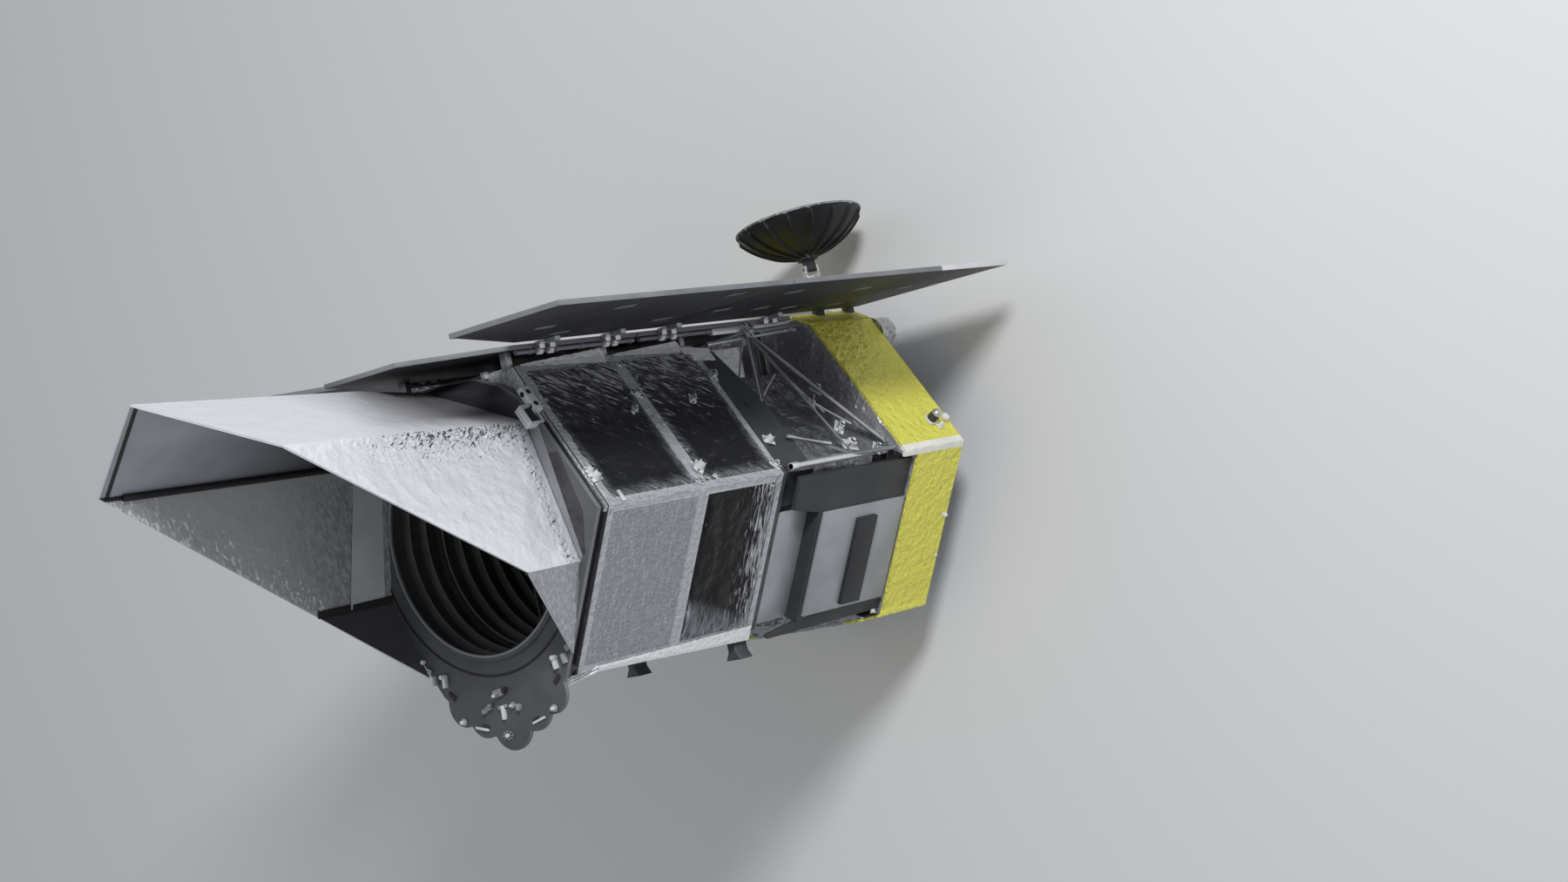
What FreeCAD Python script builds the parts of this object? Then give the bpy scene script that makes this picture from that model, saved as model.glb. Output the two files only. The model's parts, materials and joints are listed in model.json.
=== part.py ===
import FreeCAD, Part
import math
import os

# Space telescope satellite, standing on its launch ring with the telescope pointing up.
# +Z is the telescope's line of sight, +Y is the sunlit side that carries the sunshield,
# and +X is the right side. The origin is the centre of the launch ring's lower face.
# All lengths are in millimetres.

Vec = FreeCAD.Vector

# Launch ring and its flared skirt
ring_r = 833.0
ring_rim_h = 26.0
ring_lip = 34.0
ring_wall = 14.0
ring_waist_r = 815.0
skirt_top_r = 1180.0
skirt_flange = 60.0
skirt_h = 900.0

# Bus: a hexagonal body wrapped in blankets
bus_side = 2440.0
bus_h = 1320.0
bus_blanket_t = 34.0
bus_blanket_gap = 16.0
bus_corner_w = 92.0
bus_chamfer = 200.0
bus_shelf_drop = 310.0
bus_shelf_depth = 420.0

# Instrument bay between the bus and the barrel
bay_h = 2195.0
bay_core_side = 1600.0
deck_t = 80.0
radiator_out = 2040.0
radiator_plate_t = 70.0
radiator_top_u = -1060.0
radiator_bottom_u = 1120.0
radiator_front_gap = 150.0
notch_top_u = -520.0
notch_bottom_u = 1010.0
notch_depth = 545.0
main_panel_t = 36.0
main_panel_top_u = -520.0
main_panel_bottom_u = 930.0
main_panel_lap = 20.0
main_panel_front_margin = 60.0
bar_w = 400.0
bar_t = 60.0
bar_top_u = -360.0
bar_bottom_u = 860.0
bar_aft_offset = 640.0
slim_out = 1850.0
slim_t = 30.0
slim_gap = 90.0
radiator_aft_gap = 12.0
strut_r = 30.0
strut_thin_r = 19.0
strut_spread = 55.0
knob_r = 85.0
foot_pad = 100.0
foot_pad_t = 24.0
skirt_plate_t = 30.0

# Outer barrel: two hexagonal bays with recessed film panels
barrel_side = 2150.0
barrel_wall = 60.0
barrel_rear_h = 1500.0
barrel_front_h = 1691.0
film_recess = 14.0
film_t = 10.0
film_margin = 95.0
front_deck_t = 20.0
collar_h = 134.0
collar_inset = 70.0

# Aperture plate with its scalloped apron
plate_t = 60.0
plate_corner_r = 1500.0
apron_bottom = 2360.0
apron_half_w = 850.0
apron_root_share = 0.877

# Baffle tube, mirrors and spider inside the barrel
baffle_gap = 152.0
baffle_wall = 30.0
vane_t = 14.0
vane_edge_t = 4.0
vane_reach = 130.0
vane_pitch = 275.0
vane_count = 9
mirror_margin = 305.0
primary_hole_r = 300.0
primary_edge_t = 190.0
primary_dish = 105.0
primary_lift = 120.0
cell_r = 700.0
secondary_r = 290.0
secondary_t = 160.0
secondary_front_share = 0.667
secondary_back_share = 0.833
spider_vane = 2
spider_ring_w = 100.0
spider_ring_t = 60.0
spider_blade_t = 24.0
spider_blade_h = 90.0
spider_clear = 0.3

# Flared cover over the aperture: its reach, its skin and the boom inside its brow fold
cover_h = 4470.0
cover_t = 26.0
shroud_back_inset = 40.0
boom_r = 40.0
boom_gap = 2.0
boom_foot_share = 0.05
boom_end_share = 0.93

# Corners of the cover's inner skin, as shares of the barrel's side, its face distance and cover_h
cover_shares = {
    "ridge_front": (0, 1.0903, 1), "ridge_rear": (0, 1.0124, 0.302), "ridge_end": (0, 0.951, 0.067),
    "brow": (0.7721, 0.6606, 0.8792), "cheek": (0.8698, -0.3061, 0.2327), "foot_sun": (0.5814, 0.623, 0),
    "foot_mid": (0.7814, -0.3008, 0), "foot_cold": (0.586, -0.8539, 0)}

# Sunshield: a fixed centre strip and four hinged wings
shield_standoff = 268.0
shield_t = 60.0
centre_drop = 80.0
centre_half_w = 1100.0
centre_tip_half_w = 650.0
centre_z0 = 2350.0
centre_z1 = 9050.0
wing_x0 = 1150.0
wing_x1 = 3750.0
wing_z0 = 920.0
wing_z1 = 9400.0
shield_seam_z = 5410.0
shield_seam_gap = 24.0
wing_chamfer_x = 2000.0
wing_chamfer_z = 7600.0
wing_chamfer_top = 100.0
hinge_x = 1180.0
hinge_drop = 30.0
pin_r = 12.0
pin_clear = 0.1
knuckle_r = 22.0
knuckle_w = 90.0
knuckle_gap = 1.0
leaf_reach = 190.0
leaf_t = 22.0
leaf_run_gap = 8.0
hinge_end_margin = 520.0
stay_w = 120.0
stay_h = 88.0
stay_gap = 12.0

# Steerable dish antenna on its mast
mast_x = 688.0
mast_z = 1187.0
mast_r = 75.0
mast_base_r = 170.0
mast_base_t = 30.0
mast_h = 462.0
turret_r = 120.0
turret_h = 110.0
turret_gap = 0.3
fork_gap = 150.0
fork_t = 30.0
fork_w = 120.0
fork_h = 150.0
fork_pivot_share = 0.667
elbow_r = 45.0
elbow_clear = 0.3
dish_r = 900.0
dish_depth = 470.0
dish_t = 14.0
dish_rise = 190.0
dish_tilt_deg = -6.9
dish_turn_deg = 62.8
rib_count = 16
rib_t = 16.0
rib_h = 34.0
hub_r = 150.0
hub_t = 60.0
feed_r = 60.0
feed_h = 380.0
feed_cap_r = 110.0
feed_cap_t = 40.0

# Small fittings
dome_r = 230.0
dome_len = 420.0
dome_x = 1260.0
dome_y = 1710.0
dome_ball_share = 1.25
tracker_u = 820.0
tracker_z = 1280.0
tracker_r = 70.0
tracker_h = 110.0
tracker_base = 160.0
tracker_base_t = 30.0
foot_x = 900.0
foot_w = 260.0
foot_h = 330.0
foot_d = 240.0
foot_neck_share = 0.667

# Worked out from the sizes above
cos30 = math.cos(math.radians(30))
bus_z0 = skirt_h
bus_z1 = bus_z0 + bus_h
barrel_z0 = bus_z1 + bay_h
barrel_mid_z = barrel_z0 + barrel_rear_h
barrel_z1 = barrel_mid_z + barrel_front_h
plate_z0 = barrel_z1 + collar_h
plate_z1 = plate_z0 + plate_t
deck_z0 = barrel_z0 - deck_t
bus_face = bus_side * cos30
barrel_face = barrel_side * cos30
core_face = bay_core_side * cos30
bus_core_side = bus_side - bus_blanket_t / cos30
shelf_z = bus_z1 - bus_shelf_drop
baffle_r = barrel_face - barrel_wall - baffle_gap - baffle_wall
aperture_r = baffle_r - vane_reach
primary_r = aperture_r - mirror_margin
shield_y = barrel_face + shield_standoff
centre_y = shield_y - centre_drop
hinge_y = shield_y - hinge_drop
chamfer_out = bus_side - bus_chamfer / 2
chamfer_half = bus_chamfer * cos30

SUN, UPPER_RIGHT, LOWER_RIGHT, COLD, LOWER_LEFT, UPPER_LEFT = 0, -60, -120, 180, 120, 60

# Truss joints on the bay's open upper face, as shares of the barrel's side along the face,
# of its face distance outward and of the bay's height
truss_shares = {
    "apex": (-0.531, 1.036, 0.505), "sun_foot": (-0.543, 1.04, 0), "sun_head": (-0.508, 0.93, 0.97),
    "far_head": (0.455, 0.93, 0.97), "mid_head": (0.047, 0.93, 0.97), "edge_head": (0.405, 0.93, 0.97),
    "edge_foot": (0.502, 1.085, 0), "side_foot": (0.43, 1.04, 0), "knee": (0.465, 1.037, 0.355)}
truss_thick = [("sun_head", "apex"), ("apex", "sun_foot"), ("apex", "side_foot"), ("edge_head", "edge_foot")]
truss_thin = [("apex", "far_head"), ("apex", "knee"), ("mid_head", "knee")]

# Lobes of the scalloped apron: place and radius as shares of apron_half_w and apron_bottom
lobe_shares = [(0.894, 0.8456, 0.1144), (0.5, 0.9078, 0.1229), (0, 0.972, 0.1398)]

# Depth of the plain skirt under the barrel's aft edge, as a share of the bay's height
skirt_share = 0.1

os.makedirs("parts", exist_ok=True)


def save(name, shape):
    if isinstance(shape, list):
        shape = Part.makeCompound(shape)
    shape.exportStep("parts/" + name + ".step")


def mirrored(shape):
    return shape.mirror(Vec(0, 0, 0), Vec(1, 0, 0))


def save_pair(name, shape):
    save(name + "_right", shape)
    save(name + "_left", mirrored(shape))


def turned(shape, degrees):
    copy = shape.copy()
    copy.rotate(Vec(0, 0, 0), Vec(0, 0, 1), degrees)
    return copy


def turned_direction(direction, degrees):
    angle = math.radians(degrees)
    x = direction.x * math.cos(angle) - direction.y * math.sin(angle)
    y = direction.x * math.sin(angle) + direction.y * math.cos(angle)
    return Vec(x, y, 0)


def prism(points, z0, z1):
    corners = [Vec(x, y, z0) for x, y in points]
    face = Part.Face(Part.makePolygon(corners + corners[:1]))
    return face.extrude(Vec(0, 0, z1 - z0))


def box(x0, x1, y0, y1, z0, z1):
    return Part.makeBox(x1 - x0, y1 - y0, z1 - z0, Vec(x0, y0, z0))


def hexagon(side, z0, z1):
    """Hexagonal prism with flats towards +Y and -Y."""
    corners = []
    for k in range(6):
        angle = math.radians(60 * k)
        corners.append((side * math.cos(angle), side * math.sin(angle)))
    return prism(corners, z0, z1)


def hexagon_tube(side, wall, z0, z1):
    inner = hexagon(side - wall / cos30, z0, z1)
    return hexagon(side, z0, z1).cut(inner)


def on_face(degrees, u0, u1, out0, out1, z0, z1):
    """Box on one hexagon face: u runs along the face, out away from the axis."""
    return turned(box(u0, u1, out0, out1, z0, z1), degrees)


def face_prism(degrees, outline, out0, out1):
    """Plate with an outline of (u, z) points, standing on one hexagon face."""
    corners = [Vec(u, out0, z) for u, z in outline]
    face = Part.Face(Part.makePolygon(corners + corners[:1]))
    return turned(face.extrude(Vec(0, out1 - out0, 0)), degrees)


def face_point(degrees, u, out, z):
    angle = math.radians(degrees)
    x = u * math.cos(angle) - out * math.sin(angle)
    y = u * math.sin(angle) + out * math.cos(angle)
    return Vec(x, y, z)


def disc(radius, height, centre, direction):
    return Part.makeCylinder(radius, height, centre, direction)


def rod(start, end, radius):
    run = end - start
    return Part.makeCylinder(radius, run.Length, start, run)


def revolve_z(profile):
    """Turn an (r, z) outline about the telescope's axis."""
    corners = [Vec(r, 0, z) for r, z in profile]
    face = Part.Face(Part.makePolygon(corners + corners[:1]))
    return face.revolve(Vec(0, 0, 0), Vec(0, 0, 1), 360)


def fuse_all(shapes):
    return shapes[0].multiFuse(shapes[1:]).removeSplitter()


def launch_ring():
    return revolve_z([
        (ring_r, 0), (ring_r, ring_rim_h), (ring_waist_r, ring_rim_h + ring_wall),
        (skirt_top_r - ring_wall, skirt_h - ring_wall), (skirt_top_r + skirt_flange, skirt_h - ring_wall),
        (skirt_top_r + skirt_flange, skirt_h), (skirt_top_r - ring_wall - ring_wall, skirt_h),
        (ring_waist_r - ring_wall, ring_rim_h + ring_wall + ring_wall), (ring_r - ring_lip, ring_rim_h),
        (ring_r - ring_lip, 0)])


def radiator_shelf(degrees, grow):
    return on_face(degrees, radiator_top_u - grow, radiator_bottom_u + grow,
                   radiator_out - bus_shelf_depth, bus_side, shelf_z, bus_z1 + bus_blanket_t)


def on_chamfer(half, out0, out1, z0, z1):
    """Box square to the sunward right corner's chamfer."""
    return turned(box(-half, half, out0, out1, z0, z1), UPPER_RIGHT / 2)


def bus_core():
    core = hexagon(bus_core_side, bus_z0, bus_z1)
    corner = on_chamfer(bus_chamfer, chamfer_out - bus_blanket_t, bus_side, bus_z0, bus_z1)
    shelf = radiator_shelf(LOWER_RIGHT, bus_corner_w)
    return core.cut(corner).cut(mirrored(corner)).cut(shelf).cut(mirrored(shelf))


def bus_blanket(degrees, left_end, right_end, z1):
    """Blanket panel on one face, stopping short of each corner by the given widths."""
    return on_face(degrees, left_end - bus_side / 2, bus_side / 2 - right_end, bus_face - bus_blanket_t,
                   bus_face, bus_z0, z1)


def chamfer_blanket():
    return on_chamfer(chamfer_half - bus_blanket_gap, chamfer_out - bus_blanket_t, chamfer_out, bus_z0, bus_z1)


def bus_strip(k, z1):
    """White strip wrapped round one corner of the bus."""
    angle = math.radians(60 * k)
    out = Vec(math.cos(angle), math.sin(angle), 0)
    legs = [turned_direction(out, 120) * bus_corner_w, turned_direction(out, -120) * bus_corner_w]
    backs = [turned_direction(out, 30) * -bus_blanket_t, turned_direction(out, -30) * -bus_blanket_t]
    tip = out * bus_side
    outline = [tip + legs[0] + backs[0], tip + legs[0], tip, tip + legs[1], tip + legs[1] + backs[1],
               out * bus_core_side]
    return prism([(point.x, point.y) for point in outline], bus_z0, z1)


def barrel_deck():
    """Deck between bay and barrel, with a plain skirt hanging on both upper faces."""
    half = barrel_side / 2 - film_margin
    skirt = on_face(UPPER_RIGHT, -half, half, barrel_face - skirt_plate_t - film_recess,
                    barrel_face - film_recess, barrel_z0 - bay_h * skirt_share, barrel_z0)
    return fuse_all([hexagon(barrel_side, deck_z0, barrel_z0), skirt, mirrored(skirt)])


def barrel_bay(z0, z1):
    bay = hexagon_tube(barrel_side, barrel_wall, z0, z1)
    half = barrel_side / 2 - film_margin
    for k in range(6):
        bay = bay.cut(on_face(60 * k, -half, half, barrel_face - film_recess,
                              barrel_face + film_recess, z0 + film_margin, z1 - film_margin))
    return bay


def film(degrees, z0, z1):
    half = barrel_side / 2 - film_margin
    return on_face(degrees, -half, half, barrel_face - film_recess,
                   barrel_face - film_recess + film_t, z0 + film_margin, z1 - film_margin)


def baffle():
    outer = baffle_r + baffle_wall
    return revolve_z([(baffle_r, barrel_z0), (outer, barrel_z0), (outer, plate_z0), (baffle_r, plate_z0)])


def vane_top(k):
    return plate_z0 - vane_pitch * (k + 1)


def baffle_vane(k):
    """Ring-shaped vane with a bevelled inner edge, fitted against the baffle's wall."""
    top, outer = vane_top(k), baffle_r - spider_clear
    bevel = vane_t - vane_edge_t
    return revolve_z([(aperture_r, top), (outer, top), (outer, top - vane_t), (aperture_r + bevel, top - vane_t),
                      (aperture_r, top - vane_edge_t)])


def primary_mirror():
    base = barrel_z0 + primary_lift
    edge = base + primary_edge_t
    blank = revolve_z([(primary_hole_r, base), (primary_r, base), (primary_r, edge),
                       (primary_hole_r, edge)])
    ball_r = (primary_r ** 2 + primary_dish ** 2) / (2 * primary_dish)
    return blank.cut(Part.makeSphere(ball_r, Vec(0, 0, edge - primary_dish + ball_r)))


def mirror_cell():
    return revolve_z([(primary_hole_r, barrel_z0), (cell_r, barrel_z0),
                      (cell_r, barrel_z0 + primary_lift), (primary_hole_r, barrel_z0 + primary_lift)])


def spider():
    """Ring resting on one vane, with three blades to the secondary mirror's hub."""
    seat = vane_top(spider_vane)
    outer = baffle_r - spider_clear
    ring = revolve_z([(outer - spider_ring_w, seat), (outer, seat), (outer, seat + spider_ring_t),
                      (outer - spider_ring_w, seat + spider_ring_t)])
    hub = Part.makeCylinder(secondary_r, spider_blade_h, Vec(0, 0, seat))
    parts = [ring, hub]
    for k in range(3):
        blade = box(-spider_blade_t / 2, spider_blade_t / 2, 0, outer - spider_ring_w / 2,
                    seat, seat + spider_ring_t)
        parts.append(turned(blade, 120 * k + 60))
    return fuse_all(parts)


def secondary_mirror():
    seat = vane_top(spider_vane)
    return Part.makeCone(secondary_r * secondary_front_share, secondary_r * secondary_back_share, secondary_t,
                         Vec(0, 0, seat - secondary_t))


def rounded_hexagon(side, radius, z0, z1):
    """Hexagonal prism whose two sunward corners are rounded."""
    solid = hexagon(side, z0, z1)
    corners = [edge for edge in solid.Edges if abs(edge.CenterOfMass.z - (z0 + z1) / 2) < z1 - z0
               and edge.CenterOfMass.y > side / 2 and edge.Length <= z1 - z0 + spider_clear
               and abs(edge.Vertexes[0].X - edge.Vertexes[1].X) < spider_clear]
    return solid.makeFillet(radius, corners)


def front_ring():
    """Flange on the barrel's front edge and the rounded tube that carries the plate."""
    hole = disc(baffle_r + baffle_wall + spider_clear, collar_h, Vec(0, 0, barrel_z1), Vec(0, 0, 1))
    flange = hexagon(barrel_side, barrel_z1, barrel_z1 + front_deck_t).cut(hole)
    inset = collar_inset * cos30
    outer = rounded_hexagon(barrel_side - collar_inset, plate_corner_r - inset, barrel_z1, plate_z0)
    return fuse_all([flange, outer.cut(hole)])


def aperture_plate():
    """Plate across the barrel's mouth with a round opening and a scalloped apron."""
    plate = rounded_hexagon(barrel_side, plate_corner_r, plate_z0, plate_z1)
    root_y = -apron_bottom * apron_root_share
    apron = prism([(-barrel_side / 2, -barrel_face), (-apron_half_w, root_y), (apron_half_w, root_y),
                   (barrel_side / 2, -barrel_face)], plate_z0, plate_z1)
    lobes = []
    for x_share, y_share, r_share in lobe_shares:
        for x in sorted({x_share * apron_half_w, -x_share * apron_half_w}):
            centre = Vec(x, -y_share * apron_bottom, plate_z0)
            lobes.append(disc(r_share * apron_bottom, plate_t, centre, Vec(0, 0, 1)))
    whole = fuse_all([plate, apron] + lobes)
    return whole.cut(disc(aperture_r, plate_t, Vec(0, 0, plate_z0), Vec(0, 0, 1)))


def lifted(point):
    return Vec(point.x, point.y, point.z + plate_z1)


def plate_edge(degrees):
    """Point on the plate's rounded corner, a little inside its edge."""
    centre_out = (barrel_face - plate_corner_r) / cos30
    reach = plate_corner_r - shroud_back_inset
    angle = math.radians(degrees)
    return Vec(centre_out / 2 + reach * math.cos(angle), centre_out * cos30 + reach * math.sin(angle), 0)


# The cover's inner corners by name, with the plate edge that the rear shroud stands on
cover_corners = {name: Vec(x * barrel_side, y * barrel_face, z * cover_h)
                 for name, (x, y, z) in cover_shares.items()}
cover_corners["edge_top"] = Vec(0, barrel_face - shroud_back_inset, 0)
for edge_name, edge_degrees in (("edge_high", 75), ("edge_mid", 60), ("edge_low", 46)):
    cover_corners[edge_name] = plate_edge(edge_degrees)
shroud_corners = ("edge_top", "edge_high", "edge_mid", "edge_low")
cover_facets = {
    "cover_roof": [("ridge_rear", "brow", "ridge_front"), ("ridge_rear", "foot_sun", "brow"),
                   ("ridge_end", "foot_sun", "ridge_rear")],
    "cover_side": [("brow", "foot_sun", "cheek"), ("foot_sun", "foot_mid", "cheek")],
    "cover_lower": [("cheek", "foot_mid", "foot_cold")],
    "cover_shroud": [("ridge_end", "edge_top", "edge_high"), ("ridge_end", "edge_high", "edge_mid"),
                     ("ridge_end", "edge_mid", "edge_low"), ("ridge_end", "edge_low", "foot_sun")]}


def facet_normal(triangle):
    a, b, c = (cover_corners[name] for name in triangle)
    normal = (b - a).cross(c - a)
    normal.normalize()
    return normal


def merged_normals(name):
    """Inward directions of the facets that meet at a corner, with the panel each belongs to."""
    found = []
    for group, triangles in cover_facets.items():
        for triangle in triangles:
            if name in triangle:
                found.append((group, facet_normal(triangle)))
    return found


def outer_corner(name, group):
    """The corner one skin's thickness outside, square to the mean of its facets there."""
    corner = cover_corners[name]
    mean = Vec(0, 0, 0)
    for owner, normal in merged_normals(name):
        same_shell = (owner == "cover_shroud") == (group == "cover_shroud")
        if same_shell:
            mean += normal
    if corner.x == 0:
        mean.x = 0
    if corner.z == 0 or name in shroud_corners:
        mean.z = 0
    mean.normalize()
    return corner - mean * cover_t


def cover_boom():
    """Tube inside the fold between roof and side, standing on the aperture plate."""
    foot, brow = cover_corners["foot_sun"], cover_corners["brow"]
    roof, side = facet_normal(("ridge_rear", "foot_sun", "brow")), facet_normal(("brow", "foot_sun", "cheek"))
    inward = roof + side
    inward.normalize()
    offset = inward * ((boom_r + boom_gap) / inward.dot(roof))
    run = brow - foot
    start = lifted(foot + offset - run * boom_foot_share)
    tube = Part.makeCylinder(boom_r, run.Length * (boom_end_share + boom_foot_share), start, run)
    return tube.common(box(0, barrel_side, 0, barrel_side, plate_z1, plate_z1 + cover_h))


def cover_solid(group):
    """Closed skin of one cover panel: inner and outer triangles and the edges between."""
    triangles = cover_facets[group]
    edges = {}
    faces = []

    def flat(points):
        faces.append(Part.Face(Part.makePolygon(points + points[:1])))

    for triangle in triangles:
        inner = [lifted(cover_corners[name]) for name in triangle]
        outer = [lifted(outer_corner(name, group)) for name in triangle]
        flat(inner)
        flat(outer[::-1])
        for i in range(3):
            pair = (triangle[i], triangle[(i + 1) % 3])
            key = tuple(sorted(pair))
            edges[key] = edges.get(key, 0) + 1
    for (first, second), used in edges.items():
        if used == 1:
            a, b = lifted(cover_corners[first]), lifted(cover_corners[second])
            c, d = lifted(outer_corner(second, group)), lifted(outer_corner(first, group))
            flat([a, b, c])
            flat([a, c, d])
    shell = Part.Shell(faces)
    solid = Part.Solid(shell)
    if solid.Volume < 0:
        solid.reverse()
    return solid


def shield_panel(x0, x1, base_y, z0, z1):
    return box(x0, x1, base_y, base_y + shield_t, z0, z1)


def shield_plate(outline, base_y):
    """Flat shield plate with an outline of (x, z) points."""
    corners = [Vec(x, base_y, z) for x, z in outline]
    return Part.Face(Part.makePolygon(corners + corners[:1])).extrude(Vec(0, shield_t, 0))


def shield_centre_front():
    """Front half of the centre strip, tapered towards its front end."""
    z0 = shield_seam_z + shield_seam_gap / 2
    half, tip = centre_half_w, centre_tip_half_w
    return shield_plate([(-half, z0), (-half, wing_chamfer_z), (-tip, centre_z1), (tip, centre_z1),
                         (half, wing_chamfer_z), (half, z0)], centre_y)


def hinge_barrel(z0):
    return disc(knuckle_r, knuckle_w, Vec(hinge_x, hinge_y, z0), Vec(0, 0, 1))


def fixed_knuckle(z0):
    """Barrel carried by a web beside the centre strip and a leaf under it."""
    low, z1 = centre_y - leaf_t, z0 + knuckle_w
    web = box(centre_half_w + leaf_run_gap, hinge_x, low, hinge_y + knuckle_r, z0, z1)
    leaf = box(hinge_x - leaf_reach, hinge_x, low, centre_y, z0, z1)
    return fuse_all([hinge_barrel(z0), web, leaf])


def moving_knuckle(z0):
    """Barrel with a thick leaf under the wing."""
    far, z1 = hinge_x + leaf_reach, z0 + knuckle_w
    web = box(hinge_x, far, hinge_y - knuckle_r, hinge_y + knuckle_r, z0, z1)
    seat = box(hinge_x + pin_clear, far, hinge_y, shield_y, z0, z1)
    return fuse_all([hinge_barrel(z0), web, seat])


def hinge_places(z0, z1):
    return [z0 + hinge_end_margin, z1 - hinge_end_margin]


def fixed_hinges(places):
    """Outer knuckles on the centre strip, each pair carrying one pin."""
    solids = []
    for z in places:
        low, high = z - knuckle_w - knuckle_w / 2 - knuckle_gap, z + knuckle_w / 2 + knuckle_gap
        pin = disc(pin_r, high + knuckle_w - low, Vec(hinge_x, hinge_y, low), Vec(0, 0, 1))
        solids.append(fuse_all([fixed_knuckle(low), fixed_knuckle(high), pin]))
    return solids


def wing(z0, z1, places, chamfered):
    panel = shield_panel(wing_x0, wing_x1, shield_y, z0, z1)
    if chamfered:
        panel = panel.cut(shield_plate([
            (wing_x0, wing_chamfer_z), (wing_chamfer_x, wing_z1 - wing_chamfer_top),
            (wing_chamfer_x, wing_z1), (wing_x0, wing_z1)], shield_y))
    solids = [panel]
    for z in places:
        lug = moving_knuckle(z - knuckle_w / 2)
        bore = disc(pin_r + pin_clear, knuckle_w, Vec(hinge_x, hinge_y, z - knuckle_w / 2), Vec(0, 0, 1))
        solids.append(lug.cut(bore))
    return fuse_all(solids)


def shield_stays():
    """Blocks that carry the centre strip on the frames of the barrel and on the bay's core."""
    rim_x = hinge_x - leaf_reach - stay_gap - stay_w / 2
    edge = (film_margin - stay_h) / 2
    places = [(bay_core_side / 3, core_face, centre_z0 + edge), (rim_x, barrel_face, barrel_z0 + edge),
              (rim_x, barrel_face, barrel_mid_z - stay_h / 2), (rim_x, barrel_face, barrel_z1 - edge - stay_h)]
    solids = []
    for x, seat, z in places:
        for centre in (x, -x):
            solids.append(box(centre - stay_w / 2, centre + stay_w / 2, seat, centre_y, z, z + stay_h))
    return solids


# Dish antenna: the mast stands on the bus's sun face and the turret turns on it
bus_seat_y = bus_face
turret_y = bus_seat_y + mast_h
pivot_y = turret_y + turret_gap + turret_h + fork_h * fork_pivot_share
pivot = Vec(mast_x, pivot_y, mast_z)
sunward = Vec(0, 1, 0)
across = Vec(1, 0, 0)


def antenna_mast():
    base = disc(mast_base_r, mast_base_t, Vec(mast_x, bus_seat_y, mast_z), sunward)
    post = disc(mast_r, mast_h, Vec(mast_x, bus_seat_y, mast_z), sunward)
    return fuse_all([base, post])


def antenna_turret():
    start = turret_y + turret_gap
    drum = disc(turret_r, turret_h, Vec(mast_x, start, mast_z), sunward)
    arms = []
    for sign in (1, -1):
        inner = sign * fork_gap / 2
        low, high = sorted((mast_x + inner, mast_x + inner + sign * fork_t))
        arm = box(low, high, start, pivot_y + elbow_r, mast_z - fork_w / 2, mast_z + fork_w / 2)
        arms.append(arm)
    base = box(mast_x - fork_gap / 2, mast_x + fork_gap / 2, start, start + turret_h,
               mast_z - fork_w / 2, mast_z + fork_w / 2)
    fork = fuse_all([drum, base] + arms)
    hole = disc(pin_r * 2 + pin_clear, fork_gap + fork_t * 2, pivot - across * (fork_gap / 2 + fork_t), across)
    return faced(fork.cut(hole))


def faced(shape):
    """Turn a piece about the mast to the antenna's resting direction."""
    copy = shape.copy()
    copy.rotate(pivot, sunward, dish_turn_deg)
    return copy


def tilted(shape):
    copy = shape.copy()
    copy.rotate(pivot, across, dish_tilt_deg)
    return faced(copy)


def bowl_radius():
    return (dish_r ** 2 + dish_depth ** 2) / (2 * dish_depth)


def dish_vertex():
    return Vec(mast_x, pivot_y + dish_rise, mast_z)


def bowl_point(radius, ball, grow):
    """Point of a bowl-shaped arc in the plane through the dish's axis."""
    vertex = dish_vertex()
    height = ball - math.sqrt((ball + grow) ** 2 - radius ** 2)
    return Vec(vertex.x + radius, vertex.y + height, vertex.z)


def bowl_strip(r0, r1, grow0, grow1):
    """Flat crescent between two arcs that follow the bowl, from radius r0 to r1."""
    ball = bowl_radius()
    middle = (r0 + r1) / 2
    lower = [bowl_point(r, ball, grow0) for r in (r0, middle, r1)]
    upper = [bowl_point(r, ball, grow1) for r in (r0, middle, r1)]
    edges = [Part.Arc(*lower).toShape(), Part.LineSegment(lower[2], upper[2]).toShape(),
             Part.Arc(*upper[::-1]).toShape(), Part.LineSegment(upper[0], lower[0]).toShape()]
    return Part.Face(Part.Wire(edges))


def dish_bowl():
    """Thin bowl turned from two arcs, opening along +Y before it is tilted."""
    return bowl_strip(hub_r / 2, dish_r, 0, -dish_t).revolve(dish_vertex(), sunward, 360)


def dish_ribs():
    """Radial ribs on the back of the bowl, each following its curve."""
    ribs = []
    for k in range(rib_count):
        rib = bowl_strip(hub_r / 2, dish_r - dish_t, -dish_t / 2, rib_h).extrude(Vec(0, 0, rib_t))
        rib.translate(Vec(0, 0, -rib_t / 2))
        rib.rotate(dish_vertex(), sunward, 360 / rib_count * (k + 0.5))
        ribs.append(rib)
    return ribs


def dish_hub():
    vertex = dish_vertex()
    plug = disc(hub_r, hub_t + dish_t * 2, vertex - sunward * hub_t, sunward)
    neck = box(mast_x - fork_gap / 2 + elbow_clear, mast_x + fork_gap / 2 - elbow_clear,
               pivot_y, vertex.y - hub_t / 2, mast_z - elbow_r, mast_z + elbow_r)
    boss = disc(elbow_r, fork_gap - elbow_clear * 2, pivot - across * (fork_gap / 2 - elbow_clear), across)
    shaft = disc(pin_r * 2, fork_gap + fork_t * 2, pivot - across * (fork_gap / 2 + fork_t), across)
    return fuse_all([plug, neck, boss, shaft])


def dish():
    return tilted(dish_bowl().multiFuse([dish_hub()] + dish_ribs()))


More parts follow.
